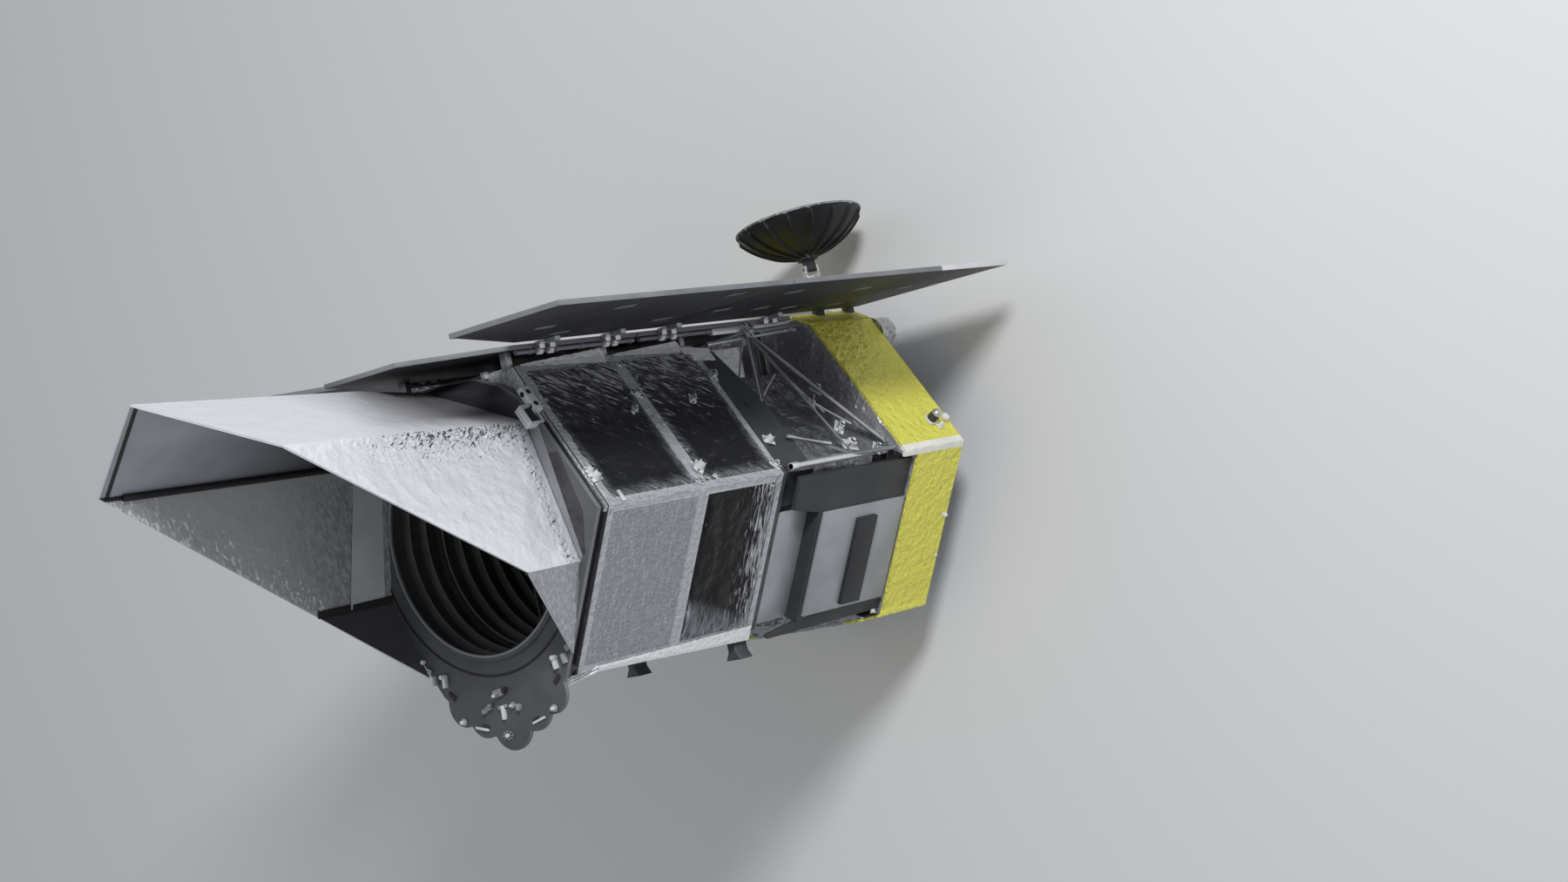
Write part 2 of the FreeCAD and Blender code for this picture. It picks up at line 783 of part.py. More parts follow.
def dish_feed():
    """Feed horn on a slim column standing on the bowl's hub, with a small cap."""
    base = dish_vertex() + sunward * (dish_t * 2)
    column = disc(feed_r, feed_h, base, sunward)
    cap = disc(feed_cap_r, feed_cap_t, base + sunward * feed_h, sunward)
    return tilted(fuse_all([column, cap]))


def truss_point(name):
    u, out, height = truss_shares[name]
    return face_point(UPPER_RIGHT, u * barrel_side, out * barrel_face, bus_z1 + height * bay_h)


def truss_right():
    """Struts across the open upper face of the bay, from the bus to the barrel deck."""
    apex = truss_point("apex")
    members = [rod(truss_point(a), truss_point(b), strut_r) for a, b in truss_thick]
    members += [rod(truss_point(a), truss_point(b), strut_thin_r) for a, b in truss_thin]
    aside = Vec(0, 0, -strut_spread)
    members.append(rod(apex + aside, truss_point("far_head") + aside, strut_thin_r))
    members.append(Part.makeSphere(knob_r, apex))
    for name in truss_shares:
        point = truss_point(name)
        if name.endswith("foot"):
            members.append(disc(foot_pad / 2, foot_pad_t, Vec(point.x, point.y, bus_z1), Vec(0, 0, 1)))
        if name.endswith("head"):
            start = Vec(point.x, point.y, deck_z0 - foot_pad_t)
            members.append(disc(foot_pad / 2, foot_pad_t, start, Vec(0, 0, 1)))
    slab = hexagon(bus_side + barrel_side, bus_z1, deck_z0)
    return members[0].multiFuse(members[1:]).common(slab)


def radiator_plate():
    front = barrel_z0 - radiator_front_gap
    aft = shelf_z + radiator_aft_gap
    notch_z = front - notch_depth
    outline = [(radiator_top_u, aft), (radiator_top_u, front), (notch_top_u - film_margin, front),
               (notch_top_u, notch_z), (notch_bottom_u, notch_z), (notch_bottom_u + film_margin, front),
               (radiator_bottom_u + film_margin / 3, front), (radiator_bottom_u, aft)]
    return face_prism(LOWER_RIGHT, outline, radiator_out - radiator_plate_t, radiator_out)


def radiator_block():
    """Box behind the radiator plate, back to the bay's core."""
    front = barrel_z0 - radiator_front_gap - notch_depth
    return on_face(LOWER_RIGHT, notch_top_u, notch_bottom_u - film_margin * 3, core_face,
                   radiator_out - radiator_plate_t, bus_z1, front)


def radiator_main():
    front = barrel_z0 - radiator_front_gap - notch_depth - main_panel_front_margin
    return on_face(LOWER_RIGHT, main_panel_top_u, main_panel_bottom_u, radiator_out,
                   radiator_out + main_panel_t, shelf_z + radiator_aft_gap + main_panel_lap, front)


def radiator_bar():
    z0 = shelf_z + bar_aft_offset
    return on_face(LOWER_RIGHT, bar_top_u, bar_bottom_u, radiator_out + main_panel_t,
                   radiator_out + main_panel_t + bar_t, z0, z0 + bar_w)


def radiator_slim():
    front = barrel_z0 - radiator_front_gap
    z0 = front - notch_depth
    plate = on_face(LOWER_RIGHT, notch_top_u, notch_bottom_u, slim_out - slim_t, slim_out,
                    z0, barrel_z0 - slim_gap)
    block = on_face(LOWER_RIGHT, notch_top_u + film_margin, notch_bottom_u - film_margin * 3, core_face,
                    slim_out - slim_t, z0, deck_z0)
    return fuse_all([plate, block])


def cold_panel():
    """Closing panel on the bay's cold face."""
    half = bay_core_side / 2
    return on_face(COLD, -half, half, core_face, barrel_face - foot_pad, bus_z1, deck_z0)


def foot_bracket():
    """Flared bracket under the barrel's aft edge on the cold side."""
    top, neck = -barrel_face, -barrel_face - foot_h * foot_neck_share
    outline = [Vec(foot_x - foot_w / 4, top, barrel_z0), Vec(foot_x + foot_w / 4, top, barrel_z0),
               Vec(foot_x + foot_w / 4, neck, barrel_z0), Vec(foot_x + foot_w / 2, top - foot_h, barrel_z0),
               Vec(foot_x - foot_w / 2, top - foot_h, barrel_z0), Vec(foot_x - foot_w / 4, neck, barrel_z0)]
    face = Part.Face(Part.makePolygon(outline + outline[:1]))
    return face.extrude(Vec(0, 0, foot_d))


def aft_drum():
    """Foil-wrapped drum with a domed end, hung under the bus's aft face."""
    low = bus_z0 - dome_len
    ball_r = dome_r * dome_ball_share
    rise = ball_r - math.sqrt(ball_r ** 2 - dome_r ** 2)
    upper = disc(dome_r, dome_len - rise, Vec(dome_x, dome_y, low + rise), Vec(0, 0, 1))
    ball = Part.makeSphere(ball_r, Vec(dome_x, dome_y, low + ball_r))
    lower = disc(dome_r, dome_len, Vec(dome_x, dome_y, low), Vec(0, 0, 1)).common(ball)
    return fuse_all([upper, lower])


def tracker():
    """Small sensor with a domed cap on the bus's upper face."""
    base = on_face(UPPER_RIGHT, tracker_u - tracker_base / 2, tracker_u + tracker_base / 2, bus_face,
                   bus_face + tracker_base_t, tracker_z - tracker_base / 2, tracker_z + tracker_base / 2)
    outward = face_point(UPPER_RIGHT, 0, 1, 0)
    start = face_point(UPPER_RIGHT, tracker_u, bus_face + tracker_base_t, tracker_z)
    tube = disc(tracker_r, tracker_h, start, outward)
    cap = Part.makeSphere(tracker_r, start + outward * tracker_h)
    return fuse_all([base, tube, cap])


save("launch_ring", launch_ring())
save("bus_core", bus_core())
chamfered_end = bus_chamfer + bus_blanket_gap
save("bus_blanket_sun", bus_blanket(SUN, chamfered_end, chamfered_end, bus_z1))
save("bus_blanket_cold", bus_blanket(COLD, bus_corner_w, bus_corner_w, bus_z1))
upper_blanket = bus_blanket(UPPER_RIGHT, chamfered_end, bus_corner_w, bus_z1)
upper_pair = [upper_blanket, chamfer_blanket()]
save("bus_blanket_upper_right", upper_pair)
save("bus_blanket_upper_left", [mirrored(blanket) for blanket in upper_pair])
save_pair("bus_blanket_lower", bus_blanket(LOWER_RIGHT, bus_corner_w, bus_corner_w, shelf_z))
save("bus_corner_strips", [bus_strip(k, shelf_z if k in (4, 5) else bus_z1) for k in (0, 3, 4, 5)])
save("aft_drum", aft_drum())
save("star_trackers", [tracker(), mirrored(tracker())])
save("bay_core", fuse_all([hexagon(bay_core_side, bus_z1, deck_z0), radiator_block(),
                           mirrored(radiator_block())]))
save("barrel_deck", barrel_deck())
save("bay_cold_panel", cold_panel())
save_pair("bay_truss", truss_right())
save_pair("radiator_frame", radiator_plate())
save_pair("radiator_panel", radiator_main())
save("radiator_bars", [radiator_bar(), mirrored(radiator_bar())])
save("radiator_slims", [radiator_slim(), mirrored(radiator_slim())])
save("barrel_rear", barrel_bay(barrel_z0, barrel_mid_z))
save("barrel_front", barrel_bay(barrel_mid_z, barrel_z1))
save("barrel_film_rear", [film(60 * k, barrel_z0, barrel_mid_z) for k in range(6)])
save("barrel_film_front", [film(a, barrel_mid_z, barrel_z1) for a in (SUN, UPPER_RIGHT, UPPER_LEFT)])
save("barrel_blanket_front", [film(a, barrel_mid_z, barrel_z1) for a in (COLD, LOWER_RIGHT, LOWER_LEFT)])
save("collar", front_ring())
save("baffle", baffle())
save("baffle_vanes", [baffle_vane(k) for k in range(vane_count)])
save("mirror_cell", mirror_cell())
save("primary_mirror", primary_mirror())
save("spider", spider())
save("secondary_mirror", secondary_mirror())
save("aperture_plate", aperture_plate())
for panel_name in ("cover_roof", "cover_side", "cover_lower"):
    save_pair(panel_name, cover_solid(panel_name))
shroud = cover_solid("cover_shroud").cut(cover_solid("cover_roof")).cut(cover_solid("cover_side"))
save_pair("cover_shroud", shroud)
save_pair("cover_boom", cover_boom())

rear_places = hinge_places(centre_z0, shield_seam_z)
front_places = hinge_places(shield_seam_z, wing_chamfer_z)
gap = shield_seam_gap / 2
save("shield_centre_rear", shield_panel(-centre_half_w, centre_half_w, centre_y, centre_z0, shield_seam_z - gap))
save("shield_centre_front", shield_centre_front())
right_hinges = fixed_hinges(rear_places + front_places)
save("shield_hinges", right_hinges + [mirrored(hinge) for hinge in right_hinges])
save_pair("wing_rear", wing(wing_z0, shield_seam_z - gap, rear_places, False))
save_pair("wing_front", wing(shield_seam_z + gap, wing_z1, front_places, True))
save("shield_stays", shield_stays())

save("antenna_mast", antenna_mast())
save("antenna_turret", antenna_turret())
save("antenna_dish", dish())
save("antenna_feed", dish_feed())
save("barrel_feet", [foot_bracket(), mirrored(foot_bracket())])
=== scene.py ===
import bpy
import json
import math
import numpy as np
from mathutils import Matrix, Vector


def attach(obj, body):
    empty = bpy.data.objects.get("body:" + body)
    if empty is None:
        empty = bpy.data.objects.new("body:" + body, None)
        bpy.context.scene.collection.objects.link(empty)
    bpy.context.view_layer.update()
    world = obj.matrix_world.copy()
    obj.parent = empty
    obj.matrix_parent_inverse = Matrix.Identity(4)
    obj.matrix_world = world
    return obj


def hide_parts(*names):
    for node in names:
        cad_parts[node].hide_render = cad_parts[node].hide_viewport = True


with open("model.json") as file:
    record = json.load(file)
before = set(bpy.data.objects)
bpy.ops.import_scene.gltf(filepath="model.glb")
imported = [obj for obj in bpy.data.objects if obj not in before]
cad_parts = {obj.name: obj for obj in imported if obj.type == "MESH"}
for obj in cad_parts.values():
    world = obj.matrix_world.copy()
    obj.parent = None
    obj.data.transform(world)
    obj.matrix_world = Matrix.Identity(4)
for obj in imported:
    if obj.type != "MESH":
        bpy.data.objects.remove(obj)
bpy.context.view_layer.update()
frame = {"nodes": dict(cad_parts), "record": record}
bpy.ops.object.select_all(action="DESELECT")

# Camera: where the photograph was taken from, in metres, with its lens and framing
camera_place = Vector((21.931, -0.640, 28.134))
camera_forward = Vector((-0.6467, 0.0325, -0.7620))
camera_up = Vector((0.1768, 0.9783, -0.1084))
camera_lens_mm = 56.67
camera_shift_x, camera_shift_y = 0.0172, 0.0053

# Studio: a pale floor, a large soft key lamp and an even world
floor_size = 400.0
floor_colour = "#D9DADC"
world_colour = "#E4E5E8"
world_strength = 0.55
key_place = Vector((24.0, 17.0, 26.0))
key_aim = Vector((0.0, 0.5, 6.0))
key_size = 7.0
key_power = 9000.0


def linear(code):
    """An sRGB hex colour as linear red, green, blue and alpha."""
    parts = [int(code[k:k + 2], 16) / 255 for k in (1, 3, 5)]
    return [p / 12.92 if p <= 0.04045 else ((p + 0.055) / 1.055) ** 2.4 for p in parts] + [1.0]


def add(tree, kind, settings=(), links=()):
    """One shader node with its settings, by attribute or socket, and the links into it."""
    made = tree.nodes.new("ShaderNode" + kind)
    for name, value in dict(settings).items():
        if isinstance(name, str) and hasattr(made, name):
            setattr(made, name, value)
        else:
            made.inputs[name].default_value = value
    for socket, source in dict(links).items():
        tree.links.new(source, made.inputs[socket])
    return made


def surface(name):
    """A new material with an empty principled shader."""
    made = bpy.data.materials.new(name)
    made.use_nodes = True
    tree = made.node_tree
    tree.nodes.clear()
    shader = add(tree, "BsdfPrincipled")
    add(tree, "OutputMaterial", links={"Surface": shader.outputs[0]})
    return made, tree, shader


def fed(shader, colour, normal, metallic, roughness):
    """Gives the shader its colour, its relief and its shine."""
    links = shader.id_data.links
    links.new(colour, shader.inputs["Base Color"])
    links.new(normal, shader.inputs["Normal"])
    shader.inputs["Metallic"].default_value = metallic
    shader.inputs["Roughness"].default_value = roughness


def crumpled(tree, cell, depth, warp=0.6, detail=3.0):
    """Height of a crumpled sheet whose facets are about cell metres across, and its normal."""
    place = add(tree, "TexCoord").outputs["Object"]
    drift = add(tree, "TexNoise", {"Scale": 0.7 / cell, "Detail": 2.0}, {"Vector": place})
    bent = add(tree, "VectorMath", {"operation": "MULTIPLY_ADD", 1: [cell * warp] * 3},
               {0: drift.outputs["Color"], 2: place})
    facets = add(tree, "TexVoronoi", {"Scale": 1 / cell, "Detail": detail, "Roughness": 0.55},
                 {"Vector": bent.outputs[0]})
    bump = add(tree, "Bump", {"Strength": 1.0, "Distance": depth}, {"Height": facets.outputs["Distance"]})
    return facets.outputs["Distance"], bump.outputs[0]


def tone(tree, factor, low, high, dark, light):
    """A colour that runs from dark to light as the factor runs from low to high."""
    share = add(tree, "MapRange", {"From Min": low, "From Max": high}, {"Value": factor})
    mix = add(tree, "Mix", {"data_type": "RGBA", 6: linear(dark), 7: linear(light)},
              {0: share.outputs[0]})
    return mix.outputs[2]


def foil(name, dark, light, cell, depth, metallic, roughness, far=None):
    """Crumpled film blanket."""
    made, tree, shader = surface(name)
    height, normal = crumpled(tree, cell, depth)
    # Dark in the facets' hollows, light on their ridges: painted shade and painted highlights over the relief; the far
    # colour, where given, is painted shade
    base = tone(tree, height, 0.0, 0.7, dark, light)
    if far:
        base = painted_light_and_greying(tree, base, far)
    fed(shader, base, normal, metallic, roughness)
    return made


def painted(name, dark, light, roughness, metallic=0.0, grain=0.012, far=None):
    """Painted or treated panel with faint mottling and a fine grain."""
    made, tree, shader = surface(name)
    place = add(tree, "TexCoord").outputs["Object"]
    mottle = add(tree, "TexNoise", {"Scale": 1.6, "Detail": 5.0}, {"Vector": place})
    fine = add(tree, "TexNoise", {"Scale": 1 / grain, "Detail": 2.0}, {"Vector": place})
    bump = add(tree, "Bump", {"Strength": 0.35, "Distance": grain / 6}, {"Height": fine.outputs[0]})
    base = tone(tree, mottle.outputs[0], 0.35, 0.65, dark, light)
    # The far colour, where given, is painted shade
    if far:
        base = painted_light_and_greying(tree, base, far)
    fed(shader, base, bump.outputs[0], metallic, roughness)
    return made


def along(tree, direction, length, width):
    """Object coordinates counted in streaks: length metres along the direction, width metres across."""
    place = add(tree, "TexCoord").outputs["Object"]
    run = Vector(direction).normalized()
    side = run.orthogonal().normalized()
    parts = {}
    for socket, axis, size in (("X", run, length), ("Y", side, width), ("Z", run.cross(side), width)):
        part = add(tree, "VectorMath", {"operation": "DOT_PRODUCT", 1: axis / size}, {0: place})
        parts[socket] = part.outputs["Value"]
    return add(tree, "CombineXYZ", links=parts).outputs[0]


def painted_light_and_greying(tree, colour, far, patches=None):
    """The colour, going over to another, in patches if wanted, where the piece's attribute of the same name rises:
    painted shade, painted reflection and greying.
    """
    amount = add(tree, "Attribute", {"attribute_name": "painted_light_and_greying"}).outputs["Fac"]
    if patches:
        lift = add(tree, "MapRange", {"From Min": 0.38, "From Max": 0.62, "To Min": 0.15, "To Max": 1.3},
                   {"Value": patches})
        amount = add(tree, "Math", {"operation": "MULTIPLY", "use_clamp": True},
                     {0: amount, 1: lift.outputs[0]}).outputs[0]
    mix = add(tree, "Mix", {"data_type": "RGBA", 7: linear(far)}, {0: amount, 6: colour})
    return mix.outputs[2]


def streaked(name, dark, light, streak, direction, length, width, share, cell, depth, metallic, roughness,
             far=None, gloss=0.5, limits=(0.735, 0.8)):
    """Film whose long creases show as streaks where the piece's crease attribute is high: painted highlights in a
    light streak colour, painted shade in a dark one.
    """
    made, tree, shader = surface(name)
    height, normal = crumpled(tree, cell, depth)
    # Dark in the facets' hollows, light on their ridges: painted shade and painted highlights over the relief
    base = tone(tree, height, 0.0, 0.7, dark, light)
    strokes = add(tree, "TexNoise", {"Scale": 1.0, "Detail": 3.5, "Distortion": 0.8},
                  {"Vector": along(tree, direction, length, width)})
    # The far colour, in patches along the streaks, is painted shade on the cover's lining, and painted reflection with
    # greying on the black film
    if far:
        base = painted_light_and_greying(tree, base, far, strokes.outputs[0])
    # The streak colour on the creases is painted light: highlights where it is lighter than the film, shade where it
    # is darker
    creases_and_painted_light = add(tree, "Attribute", {"attribute_name": "creases_and_painted_light"})
    level = add(tree, "Math", {"operation": "MULTIPLY_ADD", 1: share},
                {0: creases_and_painted_light.outputs["Fac"], 2: strokes.outputs[0]})
    amount = add(tree, "MapRange", {"From Min": limits[0], "From Max": limits[1]}, {"Value": level.outputs[0]})
    shader.inputs["Specular IOR Level"].default_value = gloss
    mix = add(tree, "Mix", {"data_type": "RGBA", 7: linear(streak)}, {0: amount.outputs[0], 6: base})
    fed(shader, mix.outputs[2], normal, metallic, roughness)
    return made


def cell_grid(name, dark, light, line, width, height, gap):
    """Rows of dark blue cells between thin silver lines, under glass."""
    made, tree, shader = surface(name)
    split = add(tree, "SeparateXYZ", links={0: add(tree, "TexCoord").outputs["Object"]})
    flat = add(tree, "CombineXYZ", links={"X": split.outputs["X"], "Y": split.outputs["Z"]})
    grid = add(tree, "TexBrick", {"offset": 0.0, "Scale": 1.0, "Brick Width": width, "Row Height": height,
                                  "Mortar Size": gap, "Color1": linear(dark), "Color2": linear(light),
                                  "Mortar": linear(line)}, {"Vector": flat.outputs[0]})
    tree.links.new(grid.outputs["Color"], shader.inputs["Base Color"])
    shader.inputs["Roughness"].default_value = 0.22
    return made


# Cells are facet sizes in metres. Real film crumples at 10 to 60 mm, and drawn that fine it would not show
# from 35 m away, so facets are drawn 50 to 400 mm wide and creases 25 to 40 mm wide by 80 to 400 mm long.
finishes = {
    # Turned aluminium: bare metal with a soft, even shine
    "ring_metal": painted("aluminium_turned", "#9A9C9F", "#B4B6B8", 0.35, 1.0),
    # Honeycomb panel skins: dull grey metal
    "bus_frame": painted("aluminium_honeycomb_panel", "#4A4B4D", "#5A5B5D", 0.5, 0.6),
    # Yellow polyimide blanket, laid loosely: small crumples that catch the light
    "yellow_foil": foil("polyimide_film_yellow_laid", "#C6C23F", "#E6E25F", 0.11, 0.02, 0.15, 0.42),
    # The same film in a brighter copy, as painted light on faces that lie in shadow, with shallow crumples
    "yellow_painted_light": foil("polyimide_film_yellow_painted_light", "#DEDA45", "#F2EE66", 0.11, 0.012, 0.1, 0.45),
    # White glass cloth tape: plain, nearly matt
    "white_tape": painted("glass_cloth_tape_white", "#DADAD2", "#EFEFE6", 0.5),
    # Silvered polyester film, loose: deep folds, light and dark
    "silver_foil": foil("polyester_film_silvered_loose", "#8F9092", "#D8D9DA", 0.12, 0.05, 0.6, 0.3),
    # Sprayed white enamel: smooth, faintly glossy
    "white_cap": painted("enamel_white_sprayed", "#D5D5D2", "#E6E6E2", 0.4),
    # Black polyimide blanket: dark, with dull highlights on its folds
    "dark_blanket": foil("polyimide_film_black_laid", "#232425", "#4A4B4D", 0.18, 0.04, 0.4, 0.32),
    # Smoked film over the bay: grey where it turns to the light
    "core_film": foil("polyester_film_smoked", "#4E4F53", "#909196", 0.26, 0.05, 0.5, 0.28),
    # Grey film on the deck: wide soft folds
    "deck_film": foil("polyester_film_grey_laid", "#5E5F64", "#A3A4A9", 0.4, 0.04, 0.5, 0.3),
    # Pale film wrapped round cases: faint wide folds
    "case_film": foil("polyester_film_pale_wrapped", "#D0D1D3", "#F0F1F2", 0.3, 0.03, 0.1, 0.35),
    # Grey film pulled taut: plain, without folds
    "skirt_grey": painted("polyester_film_grey_taut", "#434548", "#4C4E51", 0.42, 0.2),
    # Drawn aluminium tube: satin grey metal
    "strut_metal": painted("aluminium_tube_drawn", "#85878A", "#A6A8AB", 0.32, 0.6),
    # Matt black enamel: dark grey, no shine
    "dark_panel": painted("enamel_black_matt_frame", "#2C2E30", "#36383A", 0.55),
    # The same enamel, a little darker
    "bar_black": painted("enamel_black_matt_bar", "#232426", "#2B2C2E", 0.55),
    # Silvered radiator face: flat light grey with a satin sheen
    "radiator_grey": painted("radiator_face_silvered", "#92959A", "#A3A6AB", 0.4, 0.2),
    # Crumpled grey film over the frames: fine light and dark facets
    "barrel_grey": foil("polyester_film_grey_crumpled", "#595B5F", "#B6B9BE", 0.10, 0.014, 0.3, 0.38),
    # The paler film of the turned-down edges: finest facets
    "pale_film": foil("polyester_film_pale_crumpled", "#8E9093", "#B8BABD", 0.06, 0.012, 0.4, 0.36),
    # Glossy black film: painted highlights on its creases at the top, painted reflection greying it near the top,
    # greyer at its edges
    "black_film": streaked("polyimide_film_black_glossy", "#161719", "#262729", "#B2B4B8", (0.28, -0.49, -0.83),
                           0.20, 0.03, 0.22, 0.34, 0.02, 0.0, 0.16, far="#77797D", gloss=0.35, limits=(0.71, 0.82)),
    # The same film below: painted highlights on its creases along one side, greyer at its foot
    "black_film_low": streaked("polyimide_film_black_creased", "#060607", "#101012", "#B4B6BB", (0.5, 0.866, 0.0),
                               0.22, 0.03, 0.24, 0.3, 0.015, 0.0, 0.12, far="#7E8288", gloss=0.2, limits=(0.68, 0.84)),
    # Satin grey blanket: fine strokes of painted sheen up the face
    "grey_blanket": streaked("polyester_film_grey_brushed", "#6A6E73", "#94989D", "#A9ADB2", (0.5, 0.866, 0.0),
                             0.14, 0.03, 0.2, 0.05, 0.012, 0.25, 0.42),
    # Sprayed optical black: deep matt dark grey
    "baffle_black": painted("optical_black_sprayed", "#3A3B3C", "#464748", 0.6),
    # Polished silvered glass: a clear mirror
    "mirror_coat": painted("glass_silvered_polished", "#D8DADC", "#E4E6E8", 0.06, 1.0, 0.3),
    # Ground glass: dull grey-green
    "glass_edge": painted("glass_ground", "#8F9496", "#A2A7A9", 0.5),
    # Dark grey enamel of the aperture plate: matt
    "plate_grey": painted("enamel_grey_plate", "#484A4C", "#535557", 0.5),
    # Glazed silicon cells: dark blue with thin metal lines
    "solar_cells": cell_grid("silicon_cells_glazed", "#141A2E", "#1A2138", "#4A4F5C", 0.16, 0.08, 0.005),
    # Grey edge tape of the shield panels: satin
    "shield_edge": painted("panel_edge_grey_taped", "#6C6E72", "#7E8084", 0.5),
    # Grey enamel of the shield's clips and patches
    "clip_grey": painted("enamel_grey_clip", "#6E7274", "#84888A", 0.5),
    # Polished hinge metal: nearly white highlights
    "hinge_bright": painted("aluminium_polished", "#D2D3D6", "#ECEDF0", 0.3, 0.4),
    # Anodised aluminium: satin grey with a lilac cast
    "lilac_tube": painted("aluminium_anodised_lilac", "#75717F", "#8B8795", 0.35, 0.2),
    # Grey enamel on the plate's edge
    "plate_rim": painted("enamel_grey_rim", "#66686B", "#76787B", 0.45),
    # Anodised lip round the opening: lighter, satin
    "plate_lip": painted("aluminium_anodised_lip", "#7E8082", "#909294", 0.4),
    # Moulded black rubber: the dark groove
    "groove_black": painted("rubber_black_moulded", "#161718", "#1E1F20", 0.6),
    # Bead-blasted fittings: pale, soft metal
    "fitting_pale": painted("aluminium_bead_blasted", "#CBCDD0", "#E8EAEC", 0.35, 0.2),
    # Dark grey enamel of the foot brackets
    "foot_grey": painted("enamel_dark_foot", "#45474A", "#55575A", 0.45, 0.3),
    # Optical black as it looks on lit vane edges: mid grey
    "vane_black": painted("optical_black_vanes", "#6A6B6C", "#787A7B", 0.5),
    # Ground steel rod: narrow bright highlights
    "rod_bright": painted("steel_rod_ground", "#A9ABAE", "#D2D4D7", 0.28, 0.6),
    # Silvered film pulled taut over the roof: almost white, greying towards its rear as painted shade
    "cover_roof": foil("polyester_film_silvered_taut", "#C6C7CE", "#E0E1E7", 0.16, 0.006, 0.35, 0.45, far="#77777A"),
    # The same film at the sides: painted shade along the creases beside the fold
    "cover_side": streaked("polyester_film_silvered_creased", "#C6C8CF", "#E2E3E9", "#56585C", (0.0, 0.65, -1.0),
                           0.09, 0.024, 0.235, 0.16, 0.006, 0.35, 0.4),
    # Grey lower film: faint painted highlights along its creases
    "cover_lower": streaked("polyester_film_grey_lower", "#8A8D91", "#999CA0", "#B4B7BB", (0.0, 1.0, 0.2),
                            0.4, 0.03, 0.22, 0.3, 0.004, 0.25, 0.45),
    # Inside of the roof film: smooth blue-grey, with painted shade darker inwards
    "cover_lining_smooth": painted("lining_film_blue_grey", "#A2A6AF", "#B2B6BE", 0.4, 0.0, far="#4C4D52"),
    # Inside of the side film: grey, with painted highlights along its creases and painted shade towards its foot
    "cover_lining_grey": streaked("lining_film_grey_creased", "#A6A8A8", "#B4B6B6", "#EDEEF0", (0.05, 1.0, 0.35),
                                  0.13, 0.04, 0.19, 0.3, 0.006, 0.0, 0.42, far="#8A8C8E"),
    # Inside of the shroud: plain dark grey
    "cover_lining_dark": painted("lining_film_dark", "#48494C", "#525356", 0.5),
    # Pale tape along the seams inside
    "lining_strip": painted("polyester_tape_pale", "#BCBFC3", "#CACDD1", 0.4),
    # Pale binding round the mouth
    "mouth_rim": painted("polyester_binding_pale", "#BDBFC9", "#CED0D8", 0.4),
    # Black film pulled taut: plain, satin
    "shroud_dark": painted("polyimide_film_black_taut", "#232226", "#2B2A2E", 0.42),
    # Grey hem along the shroud
    "hem_grey": painted("polyester_hem_grey", "#7A7B80", "#88898E", 0.42),
    # Pale flap film, a lighter copy of the pale film as painted light where the shield's shadow falls: small soft
    # facets
    "flap_film_painted_light": foil("polyester_film_pale_painted_light", "#CDCFD2", "#ECEDEF", 0.07, 0.01, 0.2, 0.4),
    # Anodised fittings on the plate: mid grey metal
    "apron_grey": painted("aluminium_anodised_grey", "#8C8E90", "#A6A8AA", 0.4, 0.3),
    # Silvered film where a cover solid shows through
    "cover_silver": foil("polyester_film_silvered_plain", "#BFC1C6", "#E2E3E8", 0.12, 0.02, 0.45, 0.42),
    # Grey film where a lower cover solid shows through
    "cover_lower_grey": foil("polyester_film_grey_plain", "#8C8F93", "#ABAEB2", 0.12, 0.015, 0.3, 0.45),
    # Matt black enamel of the shield's back
    "shield_black": painted("enamel_black_matt_panel", "#262729", "#303133", 0.55),
    # Milled aluminium: bare, soft shine
    "hinge_metal": painted("aluminium_milled", "#8D8F92", "#B0B2B5", 0.4, 0.8),
    # Black enamel of the dish: dull
    "dish_dark": painted("enamel_black_dish", "#1D1E20", "#27282A", 0.5),
    # Rolled aluminium rim: light grey line
    "dish_rim": painted("aluminium_rolled_rim", "#85878A", "#96989B", 0.45),
    # White enamel of the feed: satin
    "feed_white": painted("enamel_white_feed", "#CFCFCB", "#DEDEDA", 0.4),
}

slot_of = {part["node"]: part["material_slot"] for part in frame["record"]["subparts"]}
for node_name, cad in frame["nodes"].items():
    cad.data.materials.clear()
    cad.data.materials.append(finishes[slot_of[node_name]])

# Faces of the craft as turns of its sun face about the long axis, in degrees
UPPER_RIGHT, LOWER_RIGHT, LOWER_LEFT, UPPER_LEFT = -60, -120, 120, 60
plate_top, on_plate = 7.8, 7.801    # upper face of the aperture plate, and just clear of it, in metres
barrel_out = 1.866                  # how far the barrel's films stand from the craft's axis
bus_out = 2.113                     # the same for the bus's blankets
tube_x, tube_y = 1.062, 2.018       # the tube along the hinge line
waist = 0.04                        # y of the barrel's side corners, where its upper and lower faces meet
cos_30, sin_30 = 0.866, 0.5         # slope of the upper and lower faces
# Longest edges of the films' meshes, in metres, about as fine as the limit of triangles lets them be
mesh_edge = {"bus": 0.042, "tape": 0.05, "gloss": 0.034, "brushed": 0.05, "cover_side": 0.04, "cover": 0.065,
             "frame": 0.07, "bay": 0.1, "case": 0.05, "drum": 0.03, "flange": 0.055}
upper_halves = ((1, UPPER_RIGHT), (-1, UPPER_LEFT))
lower_halves = ((1, LOWER_RIGHT), (-1, LOWER_LEFT))
nodes = frame["nodes"]


def only(obj):
    """Makes obj the one selected and active object, in object mode."""
    if bpy.context.object and bpy.context.object.mode != "OBJECT":
        bpy.ops.object.mode_set(mode="OBJECT")
    bpy.ops.object.select_all(action="DESELECT")
    obj.select_set(True)
    bpy.context.view_layer.objects.active = obj


